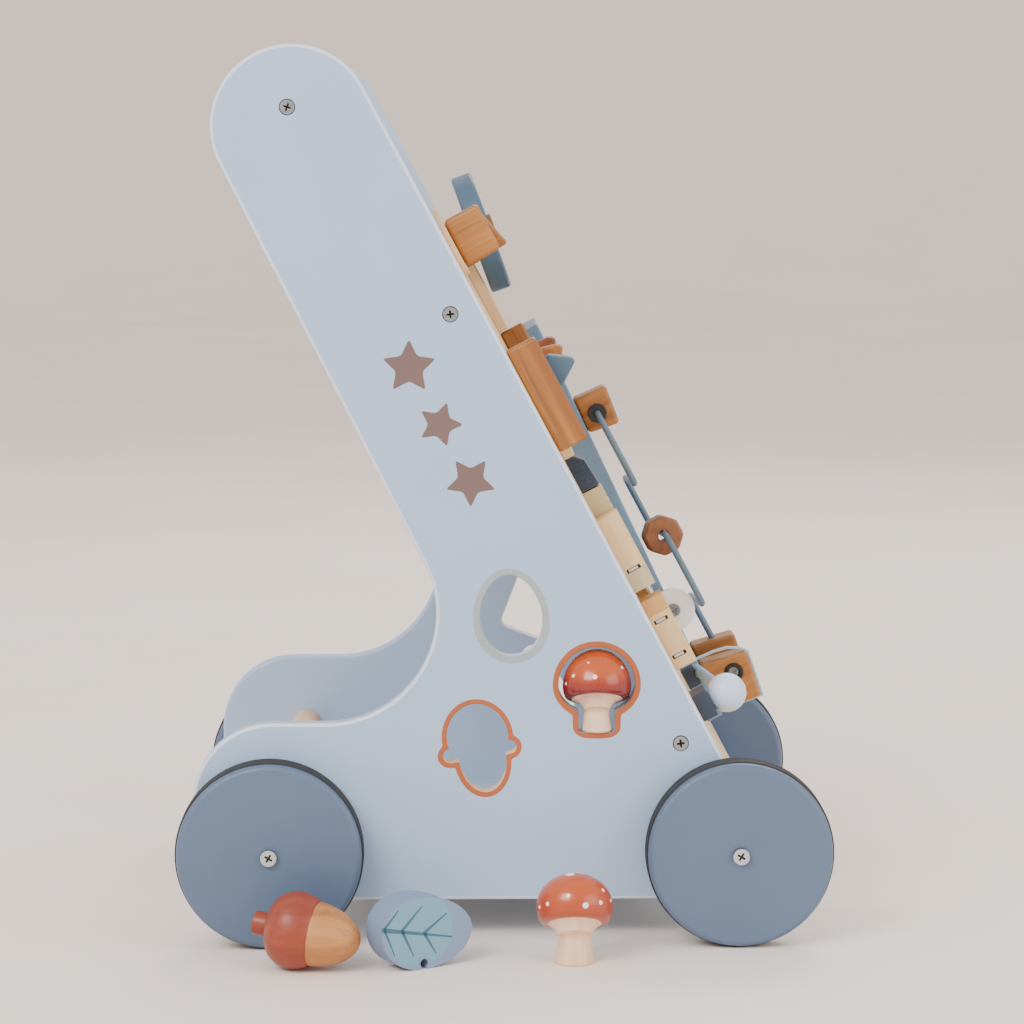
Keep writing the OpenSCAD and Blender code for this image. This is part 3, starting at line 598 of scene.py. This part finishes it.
def arc(cx, cz, radius, start, end, steps):
    return [
        (cx + radius * math.cos(a), cz + radius * math.sin(a))
        for a in (math.radians(start + (end - start) * k / steps) for k in range(steps + 1))
    ]


# ---------------------------------------------------------------- side panels

REAR_REACH = math.hypot(CURVE_X - HEAD_X, HEAD_Z - CURVE_Z)
REAR_LEAN = math.degrees(
    math.asin((HEAD_R + CURVE_R) / REAR_REACH) + math.atan2(CURVE_X - HEAD_X, HEAD_Z - CURVE_Z)
)
FOOT_Z = PANEL_BOTTOM + CORNER_R
FOOT_X = SLOPE_TOP.x - (CORNER_R + OUT.z * (FOOT_Z - SLOPE_TOP.z)) / OUT.x
EDGE_R = 1.8 * MM
EGG_AT = (3.7 * MM, 183.6 * MM)
MUSHROOM_AT = (51.7 * MM, 144.5 * MM)
ACORN_AT = (-14.1 * MM, 108.4 * MM)
ACORN_TILT = 9
SQUARE_AT = (33.5 * MM, 158 * MM)
TRIANGLE_AT = (22.5 * MM, 102 * MM)
HOLE_POINTS = 200
HOLE_LIP = 0.6 * MM
EDGE_STEPS, LIP_STEPS = 5, 3
# Radius and half height of each shape's parts, in millimetres, as on the CAD panel
MUSHROOM_R, MUSHROOM_LOW, MUSHROOM_STEM_HALF, MUSHROOM_FOOT = 21.4, 17, 10.2, 27.1
STEM_FOOT_CURVE = 1.5
ACORN_EAR_AT, ACORN_EAR_R = (17, -1.5), 4
ACORN_BAND = (-5.5, 2.5)
# The edge paint is a painted highlight, lighter than the face paint
FACE_PAINT, EDGE_HIGHLIGHT_PAINT = "panel_paint", "panel_edge"
PANEL_MATERIALS = [FACE_PAINT, EDGE_HIGHLIGHT_PAINT, "rim_grey", "rim_orange", "birch_ply"]


def side_outline(inset):
    """The panel's outline, drawn in by inset; it is made only of arcs joined by their tangents."""
    return (
        arc(HEAD_X, HEAD_Z, HEAD_R - inset, SLOPE, 180 + REAR_LEAN, 64)
        + arc(CURVE_X, CURVE_Z, CURVE_R + inset, REAR_LEAN, -90, 44)
        + arc(FENDER_X, FENDER_Z, FENDER_R - inset, 90, 180, 32)
        + arc(FENDER_X - FENDER_R + CORNER_R, FOOT_Z, CORNER_R - inset, 180, 270, 12)
        + arc(FOOT_X, FOOT_Z, CORNER_R - inset, -90, SLOPE, 16)
    )


def in_oval(x, z, rx, up, low):
    height = up if z > 0 else low
    return (x / rx) ** 2 + (z / height) ** 2 < 1


def in_mushroom(x, z, grow):
    x, z, grow = x / MM, z / MM, grow / MM
    half = MUSHROOM_STEM_HALF + grow
    foot = -MUSHROOM_FOOT - grow + STEM_FOOT_CURVE * grow * (x / half) ** 4
    stem = abs(x) < half and foot < z < 0
    return in_oval(x, z, MUSHROOM_R + grow, MUSHROOM_R + grow, MUSHROOM_LOW + grow) or stem


def in_acorn(x, z, grow):
    x, z, grow = x / MM, z / MM, grow / MM
    turn = math.radians(-ACORN_TILT)
    x, z = x * math.cos(turn) - z * math.sin(turn), x * math.sin(turn) + z * math.cos(turn)
    ear_x, ear_z = ACORN_EAR_AT
    ears = any(math.hypot(x - side * ear_x, z - ear_z) < ACORN_EAR_R + grow for side in (-1, 1))
    band = abs(x) < ear_x and ACORN_BAND[0] - grow < z < ACORN_BAND[1] + grow
    dome = in_oval(x, z - 6, 17.3 + grow, 19.6 + grow, 10 + grow)
    nut = in_oval(x - 1, z + 6, 13.2 + grow, 10 + grow, 19 + grow)
    return ears or band or dome or nut


LONGEST_RAY = 45 * MM
HALVINGS = 16
SMOOTHINGS = 2


def ray_outline(inside, centre, grow):
    """A shape's outline seen from its centre: how far each ray runs before it leaves, smoothed a little."""
    reach = []
    for k in range(HOLE_POINTS):
        a = 2 * math.pi * k / HOLE_POINTS
        low, high = 0.0, LONGEST_RAY
        for _ in range(HALVINGS):
            middle = (low + high) / 2
            if inside(middle * math.cos(a), middle * math.sin(a), grow):
                low = middle
            else:
                high = middle
        reach.append(low)
    for _ in range(SMOOTHINGS):
        reach = [
            (reach[k - 1] + 2 * reach[k] + reach[(k + 1) % HOLE_POINTS]) / 4 for k in range(HOLE_POINTS)
        ]
    return [
        (centre[0] + reach[k] * math.cos(a), centre[1] + reach[k] * math.sin(a))
        for k, a in ((k, 2 * math.pi * k / HOLE_POINTS) for k in range(HOLE_POINTS))
    ]


EGG_HALF_W, EGG_HALF_H, EGG_TAPER = 17.4 * MM, 23 * MM, 0.1
EGG_TURN = math.radians(6)


def egg_outline(grow):
    points = []
    turn = EGG_TURN
    for k in range(HOLE_POINTS):
        a = 2 * math.pi * k / HOLE_POINTS
        x = (EGG_HALF_W + grow) * math.cos(a) * (1 - EGG_TAPER * math.sin(a))
        z = (EGG_HALF_H + grow) * math.sin(a)
        points.append((
            EGG_AT[0] + x * math.cos(turn) - z * math.sin(turn),
            EGG_AT[1] + x * math.sin(turn) + z * math.cos(turn),
        ))
    return points


def rounded_polygon(centre, sides, reach, radius, turn, grow):
    points, corner_steps = [], 14
    for k in range(sides):
        a = turn + 360 * k / sides
        points += arc(
            centre[0] + reach * math.cos(math.radians(a)), centre[1] + reach * math.sin(math.radians(a)),
            radius + grow, a - 180 / sides, a + 180 / sides, corner_steps
        )
    return points


def around(centre, radius, grow):
    """A circle's outline, without repeating its first point."""
    return arc(*centre, radius + grow, 0, 360, 40)[:-1]


SCREW_HOLE_R = 4.45 * MM
RAIL_DEPTH = -17 * MM
FIXINGS = [(-119.2 * MM, 465.5 * MM), (-121.7 * MM, 79 * MM)]
for rail_down in (132 * MM, 405 * MM):
    rail_place = on_slope(rail_down, RAIL_DEPTH)
    FIXINGS.append((rail_place.x, rail_place.z))
SCREW_HOLES = [
    (lambda grow, at=place: around(at, SCREW_HOLE_R, grow), 0, FACE_PAINT, FACE_PAINT) for place in FIXINGS
]

# Each hole: its outline, the width of its painted rim, the rim's material and the wall's material
RIGHT_HOLES = SCREW_HOLES + [
    # The egg hole's wall takes the painted highlight paint
    (egg_outline, 3.9 * MM, "rim_grey", EDGE_HIGHLIGHT_PAINT),
    (lambda grow: ray_outline(in_mushroom, MUSHROOM_AT, grow), 3.3 * MM, "rim_orange", FACE_PAINT),
    (lambda grow: ray_outline(in_acorn, ACORN_AT, grow), 2.8 * MM, "rim_orange", "birch_ply"),
]
LEFT_HOLES = SCREW_HOLES + [
    # The walls of these two holes take the painted highlight paint
    (lambda grow: rounded_polygon(SQUARE_AT, 4, 29 * MM, 5 * MM, 24, grow), 0, FACE_PAINT, EDGE_HIGHLIGHT_PAINT),
    (lambda grow: rounded_polygon(TRIANGLE_AT, 3, 20 * MM, 8 * MM, 90, grow), 0, FACE_PAINT, EDGE_HIGHLIGHT_PAINT),
]


def loop(bm, points, y):
    return [bm.verts.new((x, y, z)) for x, z in points]


def bridge(bm, ring_a, ring_b, material):
    count = len(ring_a)
    for k in range(count):
        n = (k + 1) % count
        face = bm.faces.new((ring_a[k], ring_a[n], ring_b[n], ring_b[k]))
        face.material_index = PANEL_MATERIALS.index(material)


def cap(bm, rings):
    """Fills the area inside the first ring and outside the others."""
    edges = []
    for ring in rings:
        for k, vert in enumerate(ring):
            following = ring[(k + 1) % len(ring)]
            edge = bm.edges.get((vert, following)) or bm.edges.new((vert, following))
            edges.append(edge)
    bmesh.ops.triangle_fill(bm, use_beauty=True, use_dissolve=False, edges=edges)


def rolled_edge(bm, outline, radius, face_y, direction, steps):
    """Rings that carry an outline round an edge, from the flat face to the wall."""
    return [
        loop(bm, outline(radius * (1 - math.sin(t))), face_y + direction * radius * (1 - math.cos(t)))
        for t in (math.radians(90 * k / steps) for k in range(steps + 1))
    ]


def bridge_all(bm, rings, material):
    for ring_a, ring_b in zip(rings, rings[1:]):
        bridge(bm, ring_a, ring_b, material)


def line_hole(bm, faces, outline, rim, rim_material, wall_material):
    """Builds a hole's wall. Returns its border on each of the panel's two faces."""
    walls, borders = [], []
    for index, (face_y, direction) in enumerate(faces):
        painted = rim and index == 0
        rings = rolled_edge(bm, outline, HOLE_LIP, face_y, direction, LIP_STEPS)
        bridge_all(bm, rings, rim_material if painted else wall_material)
        walls.append(rings[-1])
        border = rings[0]
        if painted:
            border = loop(bm, outline(rim), face_y)
            bridge(bm, border, rings[0], rim_material)
        borders.append(border)
    bridge(bm, *walls, wall_material)
    return borders


def panel_mesh(outer_y, inner_y, holes):
    """A side panel with rounded edges. The painted highlight on the rounded edge and the painted rims are at
    outer_y.
    """
    bm = bmesh.new()
    towards = 1 if inner_y > outer_y else -1
    faces = ((outer_y, towards), (inner_y, -towards))
    edges = [rolled_edge(bm, side_outline, EDGE_R, *face, EDGE_STEPS) for face in faces]
    # The outer face's rounded edge gets the painted highlight, the inner face's edge the face paint
    for rings, material in zip(edges, (EDGE_HIGHLIGHT_PAINT, FACE_PAINT)):
        bridge_all(bm, rings, material)
    bridge(bm, edges[0][-1], edges[1][-1], FACE_PAINT)
    borders = [[rings[0]] for rings in edges]
    for hole in holes:
        for group, border in zip(borders, line_hole(bm, faces, *hole)):
            group.append(border)
    for group in borders:
        cap(bm, group)
    bmesh.ops.recalc_face_normals(bm, faces=bm.faces)
    return to_mesh(bm, "panel")


def make_panels():
    for name, node, outer, inner, holes in (
        ("right_panel", "right_side_panel", -OUTER_Y, -INNER_Y, RIGHT_HOLES),
        ("left_panel", "left_side_panel", OUTER_Y, INNER_Y, LEFT_HOLES),
    ):
        mesh = panel_mesh(outer, inner, holes)
        smooth(new_piece(name, mesh, PANEL_MATERIALS, BODY_OF[node], (node,)))


def star_points(count, long_r, short_r, turn):
    points = []
    for k in range(2 * count):
        radius = long_r if k % 2 == 0 else short_r
        a = math.radians(turn + 180 * k / count)
        points.append((radius * math.cos(a), radius * math.sin(a)))
    return points


def raised_mesh(name, outlines, place, lift, soft=0.0):
    """Flat painted shapes a little proud of a face; place turns a flat point and a height into a point."""
    bm = bmesh.new()
    for points in outlines:
        flat = bmesh.new()
        face = flat.faces.new([flat.verts.new((x, z, 0)) for x, z in points])
        if soft:
            bmesh.ops.bevel(
                flat, geom=list(flat.verts), offset=soft, segments=6, profile=0.5, affect="VERTICES",
                offset_type="OFFSET", clamp_overlap=True
            )
        face = max(flat.faces, key=lambda each: each.calc_area())
        ring = [vert.co.copy() for vert in face.verts]
        flat.free()
        low = [bm.verts.new(place(v.x, v.y, 0.0)) for v in ring]
        high = [bm.verts.new(place(v.x, v.y, lift)) for v in ring]
        bm.faces.new(high)
        bm.faces.new(low)
        for k in range(len(ring)):
            n = (k + 1) % len(ring)
            bm.faces.new((low[k], low[n], high[n], high[k]))
    bmesh.ops.recalc_face_normals(bm, faces=bm.faces)
    return to_mesh(bm, name)


MOTIF_DOWN, MOTIF_OUT, MOTIF_STEP = 147 * MM, -51 * MM, 36 * MM
MOTIF_SIZES = (15.5 * MM, 13 * MM, 14.5 * MM)
STAR_WAIST = 0.5
STAR_TURN = 18
STAR_LIFT, STAR_SOFT = 0.12 * MM, 1.6 * MM


def make_motif():
    """Three painted stars run down the right panel."""
    first = on_slope(MOTIF_DOWN, MOTIF_OUT)
    for k, size in enumerate(MOTIF_SIZES):
        centre = first + DOWN * (MOTIF_STEP * k)
        mesh = raised_mesh(
            "star", [star_points(5, size, size * STAR_WAIST, 90 - STAR_TURN * k)],
            lambda x, z, up, c=centre: Vector((c.x + x, -OUTER_Y - up, c.z + z)), STAR_LIFT, STAR_SOFT
        )
        new_piece(f"painted_star_{k + 1}", mesh, ["motif_paint"], "frame")


# ---------------------------------------------------------------- wheels

WHEELS = [f"{front}_{side}" for front in ("rear", "front") for side in ("right", "left")]
WHEEL_R = 51.5 * MM
WHEEL_EDGE_R = 3.2 * MM
WHEEL_SIDES = 144
BORE_R, BORE_LIP = 3.05 * MM, 0.6 * MM
RING_GROOVE_R, RING_GROOVE_W = WHEEL_R - 2.6 * MM, 14 * MM
TYRE_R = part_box("front_right_tyre")[1].z / 2
TYRE_IN_R = WHEEL_R - 2.5 * MM
TYRE_EDGE_R = 1.2 * MM
TREAD_GROOVES = 5
TREAD_DEPTH, TREAD_TOP_HALF, TREAD_FOOT_HALF = 0.45 * MM, 0.5 * MM, 0.25 * MM


def wheel_profile(thickness):
    """Half section of a wooden wheel: a bore, two rounded edges and the groove for its rubber ring."""
    rim, edge, lip = WHEEL_R - WHEEL_EDGE_R, WHEEL_EDGE_R, BORE_R + BORE_LIP
    start = (thickness - RING_GROOVE_W) / 2
    end = start + RING_GROOVE_W
    return (
        [(BORE_R, 0.0), (lip, 0.0)] + arc(rim, edge, edge, -90, 0, 10)
        + [(WHEEL_R, start), (RING_GROOVE_R, start), (RING_GROOVE_R, end), (WHEEL_R, end)]
        + arc(rim, thickness - edge, edge, 0, 90, 10) + [(lip, thickness), (BORE_R, thickness)]
    )


def tyre_profile(width):
    """Half section of a rubber ring with fine grooves round its tread."""
    crown, edge, foot = TYRE_R - TYRE_EDGE_R, TYRE_EDGE_R, TYRE_R - TREAD_DEPTH
    tread = []
    for k in range(1, TREAD_GROOVES + 1):
        middle = edge + (width - 2 * edge) * k / (TREAD_GROOVES + 1)
        tread += [
            (TYRE_R, middle - TREAD_TOP_HALF), (foot, middle - TREAD_FOOT_HALF),
            (foot, middle + TREAD_FOOT_HALF), (TYRE_R, middle + TREAD_TOP_HALF),
        ]
    return (
        [(TYRE_IN_R, 0.0)] + arc(crown, edge, edge, -90, 0, 5) + tread
        + arc(crown, width - edge, edge, 0, 90, 5) + [(TYRE_IN_R, width)]
    )


def turn_on_axle(node, name, centre, profile):
    """Replaces a wheel or its ring by one turned about the axle through centre."""
    low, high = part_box(node)
    at, to = (Vector((centre.x, y, centre.z)) for y in (low.y, high.y))
    mesh = lathe(profile(high.y - low.y), at, to, WHEEL_SIDES, closed=True)
    slot = SLOT_OF[node]
    smooth(new_piece(name, mesh, [slot], BODY_OF[node], (node,)))


def make_wheels():
    for place in WHEELS:
        wheel, tyre = place + "_wheel", place + "_tyre"
        low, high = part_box(wheel)
        centre = (low + high) / 2
        turn_on_axle(wheel, wheel + "_turned", centre, wheel_profile)
        turn_on_axle(tyre, tyre + "_ring", centre, tyre_profile)


# ---------------------------------------------------------------- loose blocks


# Rounding of a cap's lower rim: how far each point lies in from it and above it, in millimetres
CAP_RIM = ((2.0, 0.0), (1.0, 0.1), (0.3, 0.5))
CAP_RIM_ANGLE = 1.5
CAP_STEPS = 44
# Rings of a dot of paint: share of its radius, and height in millimetres
DOT_RINGS = ((1.0, -0.05), (0.92, 0.14), (0.6, 0.26))
DOT_SIDES = 20


class Mushroom:
    """Sizes in millimetres of one mushroom: its foot, and its cap, which leans back from the stem."""

    def __init__(self, name, foot, centre_h, lean, radius, up, low, cut, paint_name, dots):
        self.name = name
        self.centre = (Vector(foot) + Vector((0, 0, centre_h))) * MM
        self.axis = Vector((0, math.sin(math.radians(lean)), math.cos(math.radians(lean))))
        self.radius, self.up, self.low, self.cut = radius, up, low, cut
        self.paint_name = paint_name
        self.dots = dots

    def profile(self):
        """Half outline of the cap as (radius, distance along its axis), with a soft lower rim."""
        first = -math.degrees(math.asin(self.cut / self.low))
        rim = self.radius * math.cos(math.radians(first))
        points = [(0.0, -self.cut)] + [(rim - inwards, -self.cut + up) for inwards, up in CAP_RIM]
        start = first + CAP_RIM_ANGLE
        for k in range(1, CAP_STEPS + 1):
            a = math.radians(start + (90 - start) * k / CAP_STEPS)
            height = self.up if a > 0 else self.low
            points.append((max(0.0, self.radius * math.cos(a)), height * math.sin(a)))
        return [(max(0.0, r) * MM, d * MM) for r, d in points[:-1]] + [(0.0, self.up * MM)]

    def surface(self, direction):
        """The cap's surface point in a direction from its centre, and the normal there."""
        along = direction.dot(self.axis)
        across = direction - along * self.axis
        height = self.up if along > 0 else self.low
        reach = 1 / math.sqrt((across.length / self.radius) ** 2 + (along / height) ** 2)
        normal = across / self.radius ** 2 + along / height ** 2 * self.axis
        return self.centre + direction * reach * MM, normal.normalized()


def add_dot(bm, at, normal, radius):
    """A low round blob of paint."""
    side = normal.orthogonal().normalized()
    other = normal.cross(side)
    rings = []
    for share, lift in DOT_RINGS:
        rings.append([
            bm.verts.new(
                at + normal * lift * MM
                + radius * share * MM * (math.cos(a) * side + math.sin(a) * other)
            )
            for a in (2 * math.pi * k / DOT_SIDES for k in range(DOT_SIDES))
        ])
    for low, high in zip(rings, rings[1:]):
        for k in range(DOT_SIDES):
            n = (k + 1) % DOT_SIDES
            bm.faces.new((low[k], low[n], high[n], high[k]))
    bm.faces.new(rings[-1])
    bm.faces.new(list(reversed(rings[0])))


def make_mushroom(mushroom):
    cap_node, stem_node = mushroom.name + "_cap", mushroom.name + "_stem"
    body = BODY_OF[cap_node]
    mesh = lathe(mushroom.profile(), mushroom.centre, mushroom.centre + mushroom.axis, 96)
    cap = new_piece(cap_node + "_turned", mesh, [mushroom.paint_name], body, (cap_node,))
    smooth(cap, 40)
    soften(stem_node, 0.5, 2, "stem_wood", 40, 70)
    bm = bmesh.new()
    for across, up, size in mushroom.dots:
        depth = math.sqrt(max(0.0, 1 - (across ** 2 + up ** 2) / mushroom.radius ** 2)) * mushroom.radius
        for mirrored in (-1, 1):
            direction = Vector((across * -mirrored, mirrored * max(depth, 1.0), up)).normalized()
            add_dot(bm, *mushroom.surface(direction), size)
    bmesh.ops.recalc_face_normals(bm, faces=bm.faces)
    smooth(new_piece(mushroom.name + "_dots", to_mesh(bm, "dots"), ["dot_paint"], body), 50)


FITTED = Mushroom(
    "mushroom", (52, -126, 117.5), 25.5, 22, 19.3, 21, 16.4, 7.5, "red_paint",
    # dots: how far across, how high and how large
    [(-5.2, 14.7, 0.7), (-13.6, 7.6, 1.1), (-1.9, 7.9, 1.4), (13.5, 11.5, 1.0), (-17.6, 2.5, 0.9)]
)
LOOSE = Mushroom(
    "loose_mushroom", (37.5, -188.5, 0), 31, 27, 21, 18.3, 18, 9.5, "red_paint_loose",
    [
        (-4.2, 10.3, 1.2), (-15.2, 4.8, 1.2), (5.3, 5.2, 1.7), (13.7, 5.7, 1.3), (15.4, 11.2, 1.1),
        (-19.4, 1.7, 1.0), (19.4, 4.9, 1.0), (-2.9, 20.5, 2.6),
    ]
)

ACORN_AT_FLOOR = Vector((-114.7, -200, 21.35)) * MM
ACORN_TURN, ACORN_PITCH = math.radians(-14), math.radians(98)
ACORN_AXIS = Vector((
    math.sin(ACORN_PITCH) * math.cos(ACORN_TURN), math.sin(ACORN_PITCH) * math.sin(ACORN_TURN),
    math.cos(ACORN_PITCH)
))
ACORN_R = 21.2
NUT_R, NUT_AT, NUT_L = 17.6, 11.2, 25.7
SHOULDER_R, SHOULDER_AT, STALK_END = 7, 15, 23.3
STALK_R = 6.6
STALK_TIP = ((0, 0), (5.4, 0), (6.2, 0.4), (STALK_R, 1.3))
CAP_LENGTH, CAP_TAPER = 10, 2.4
NUT_POINT = 1.15


def acorn_cap_profile():
    points = [(r, d - STALK_END) for r, d in STALK_TIP] + [(STALK_R, -SHOULDER_AT - 0.1)]
    for k in range(31):
        a = math.radians(90 - 3 * k)
        points.append((
            SHOULDER_R + (ACORN_R - SHOULDER_R) * math.cos(a), -SHOULDER_AT * math.sin(a)
        ))
    shares = [k / 12 for k in range(1, 13)]
    points += [(ACORN_R - CAP_TAPER * share ** 2, CAP_LENGTH * share) for share in shares]
    points += [(18.5, CAP_LENGTH + 0.8), (18.1, NUT_AT), (0, NUT_AT)]
    return [(r * MM, d * MM) for r, d in points]


def acorn_nut_profile():
    points = [(0, NUT_AT)]
    for k in range(46):
        a = math.radians(2 * k)
        points.append((max(0.0, NUT_R * math.cos(a)), NUT_AT + NUT_L * math.sin(a) ** NUT_POINT))
    return [(r * MM, d * MM) for r, d in points[:-1]] + [(0.0, (NUT_AT + NUT_L) * MM)]


def make_acorn():
    for node, profile in (("acorn_cap", acorn_cap_profile()), ("acorn_nut", acorn_nut_profile())):
        mesh, slot = lathe(profile, ACORN_AT_FLOOR, ACORN_AT_FLOOR + ACORN_AXIS, 96), SLOT_OF[node]
        smooth(new_piece(node + "_turned", mesh, [slot], BODY_OF[node], (node,)), 38)


LEAF_AT = Vector((-47.1, -203.9, 0)) * MM
LEAF_TURN = math.radians(30)
LEAF_ALONG = Vector((math.cos(LEAF_TURN), math.sin(LEAF_TURN), 0))
LEAF_FRONT = Vector((math.sin(LEAF_TURN), -math.cos(LEAF_TURN), 0))
# Half lengths of the leaf's egg outline: forwards, backwards, up and down
LEAF_FORE, LEAF_AFT, LEAF_UP, LEAF_LOW = 33, 23.2, 18.5, 21.8
LEAF_CENTRE_Z = LEAF_LOW
LEAF_WASH_R, LEAF_WASH_MARGIN = 20.5, 0.9
TINT_LIFT, VEIN_LIFT = 0.08 * MM, 0.2 * MM
# Middle, half width and top of the notch in the leaf's foot, with a margin
LEAF_NOTCH = (3, 4, 6.6)
LEAF_VEINS = [
    # start and end as (along, up), then the width at each end
    ((-23.2, 24.6), (20.2, 16.0), 2.6, 0.8),
    ((-22.0, 24.6), (-12.9, 34.4), 1.5, 0.6),
    ((-11.3, 22.4), (1.6, 35.0), 1.8, 0.6),
    ((2.4, 19.8), (17.0, 29.4), 1.9, 0.6),
    ((-21.4, 24.0), (-15.3, 9.4), 1.4, 0.5),
    ((-10.5, 22.0), (-3.6, 7.8), 1.8, 0.5),
    ((3.2, 19.4), (10.2, 8.0), 1.8, 0.5),
]


def on_leaf(along, up, lift):
    """A point on the leaf block's front face, in metres."""
    return LEAF_AT + along * LEAF_ALONG + Vector((0, 0, up)) + lift * LEAF_FRONT


def leaf_wash_outline():
    """The tinted part of the leaf: a circle kept inside the block's outline."""
    points = []
    for k in range(72):
        a = math.radians(5 * k)
        across = LEAF_FORE if math.cos(a) > 0 else LEAF_AFT
        height = LEAF_UP if math.sin(a) > 0 else LEAF_LOW
        edge = 1 / math.hypot(math.cos(a) / across, math.sin(a) / height)
        reach = min(LEAF_WASH_R, edge - LEAF_WASH_MARGIN)
        along, up = reach * math.cos(a), LEAF_CENTRE_Z + reach * math.sin(a)
        if abs(along - LEAF_NOTCH[0]) < LEAF_NOTCH[1]:
            up = max(up, LEAF_NOTCH[2])
        points.append((along * MM, up * MM))
    return points


def vein_outline(start, end, width_start, width_end):
    run = Vector(end) - Vector(start)
    side = Vector((-run.y, run.x)).normalized() / 2
    corners = [
        Vector(start) - side * width_start, Vector(end) - side * width_end,
        Vector(end) + side * width_end, Vector(start) + side * width_start,
    ]
    return [(corner.x * MM, corner.y * MM) for corner in corners]


def make_leaf():
    soften("leaf_block", 0.7, 3, "leaf_paint", 30, 40)
    body = BODY_OF["leaf_block"]
    tint = raised_mesh("tint", [leaf_wash_outline()], on_leaf, TINT_LIFT)
    new_piece("leaf_tint", tint, ["leaf_wash"], body)
    veins = raised_mesh("veins", [vein_outline(*vein) for vein in LEAF_VEINS], on_leaf, VEIN_LIFT)
    new_piece("leaf_veins", veins, ["vein_paint"], body)


# ---------------------------------------------------------------- everything on the board

# How far the edges of each node are rounded, in millimetres
DEFAULT_ROUNDING = 0.6
ROUNDING = {
    "steering_wheel": 1.9,
    "dial_knob": 2.5,
    "leaning_block": 1.8,
    "steering_hub": 0.9,
    "steering_wedge": 1.2,
    "dial_plate": 0.5,
    "gear_rails": 1.8,
    "gear_blue": 1.6,
    "gear_beech": 1.6,
    "gear_brown": 1.6,
    "gear_pale": 1.6,
    "navy_block": 0.7,
    "ribbed_block": 0.25,
    "board_lath": 0.9,
    "xylophone_rails": 1.1,
    "xylophone_keys": 0.7,
    "xylophone_pins": 0.25,
    "upper_wire_block": 2.2,
    "lower_front_block": 2.2,
    "lower_rear_block": 2.2,
    "octagon_bead": 1.8,
    "white_spinner": 0.9,
    "wire_grommets": 0.35,
    "block_band": 0.25,
    "panel_screws": 0.2,
    "board_screws": 0.2,
    "axle_bolts": 0.2,
    "axle_washers": 0.3,
    "axle_nuts": 0.4,
    "bead_wire": 0.0,
    "activity_board": 0.8,
    "box_floor": 0.8,
    "bead_base": 1.2,
}
# Nodes whose material is not the one that their slot names
OTHER_MATERIAL = {
    "dial_knob": "beech_across",
    "leaning_block": "beech_across",
    "steering_wedge": "beech_across",
    "upper_wire_block": "beech_across",
    "lower_front_block": "beech_across",
    "lower_rear_block": "beech_across",
    "panel_screws": "panel_screw_steel",
    "board_screws": "screw_steel",
    "axle_bolts": "bolt_steel",
}
LARGE_ROUNDING = 1.2
MALLET_HEAD_R = 11.2 * MM


def make_mallet_head():
    """A ball whose poles are single points."""
    low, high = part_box("mallet_head")
    centre = (low + high) / 2
    steps = 48
    profile = [(0.0, -MALLET_HEAD_R)]
    profile += [
        (MALLET_HEAD_R * math.sin(a), -MALLET_HEAD_R * math.cos(a))
        for a in (math.pi * k / steps for k in range(1, steps))
    ]
    profile.append((0.0, MALLET_HEAD_R))
    mesh = lathe(profile, centre, centre + ACROSS, 64)
    slot = SLOT_OF["mallet_head"]
    smooth(new_piece("mallet_ball", mesh, [slot], BODY_OF["mallet_head"], ("mallet_head",)), 60)


def make_the_rest():
    """Rounds the edges of every CAD node that nothing else stands for."""
    done = ("_side_panel", "_tyre", "mushroom_cap", "mushroom_stem")
    special = [place + "_wheel" for place in WHEELS]
    special += ["acorn_cap", "acorn_nut", "leaf_block", "mallet_head"]
    for node in NODES:
        if node.endswith(done) or node in special:
            continue
        radius = ROUNDING.get(node, DEFAULT_ROUNDING)
        segments = 4 if radius > LARGE_ROUNDING else 3
        smooth_angle = 50 if node == "bead_wire" else 32
        soften(node, radius, segments, OTHER_MATERIAL.get(node), smooth_angle=smooth_angle)


MATERIAL = make_materials()
make_camera()
make_lights()
make_floor()
make_panels()
make_motif()
make_wheels()
make_mushroom(FITTED)
make_mushroom(LOOSE)
make_acorn()
make_leaf()
make_mallet_head()
make_the_rest()
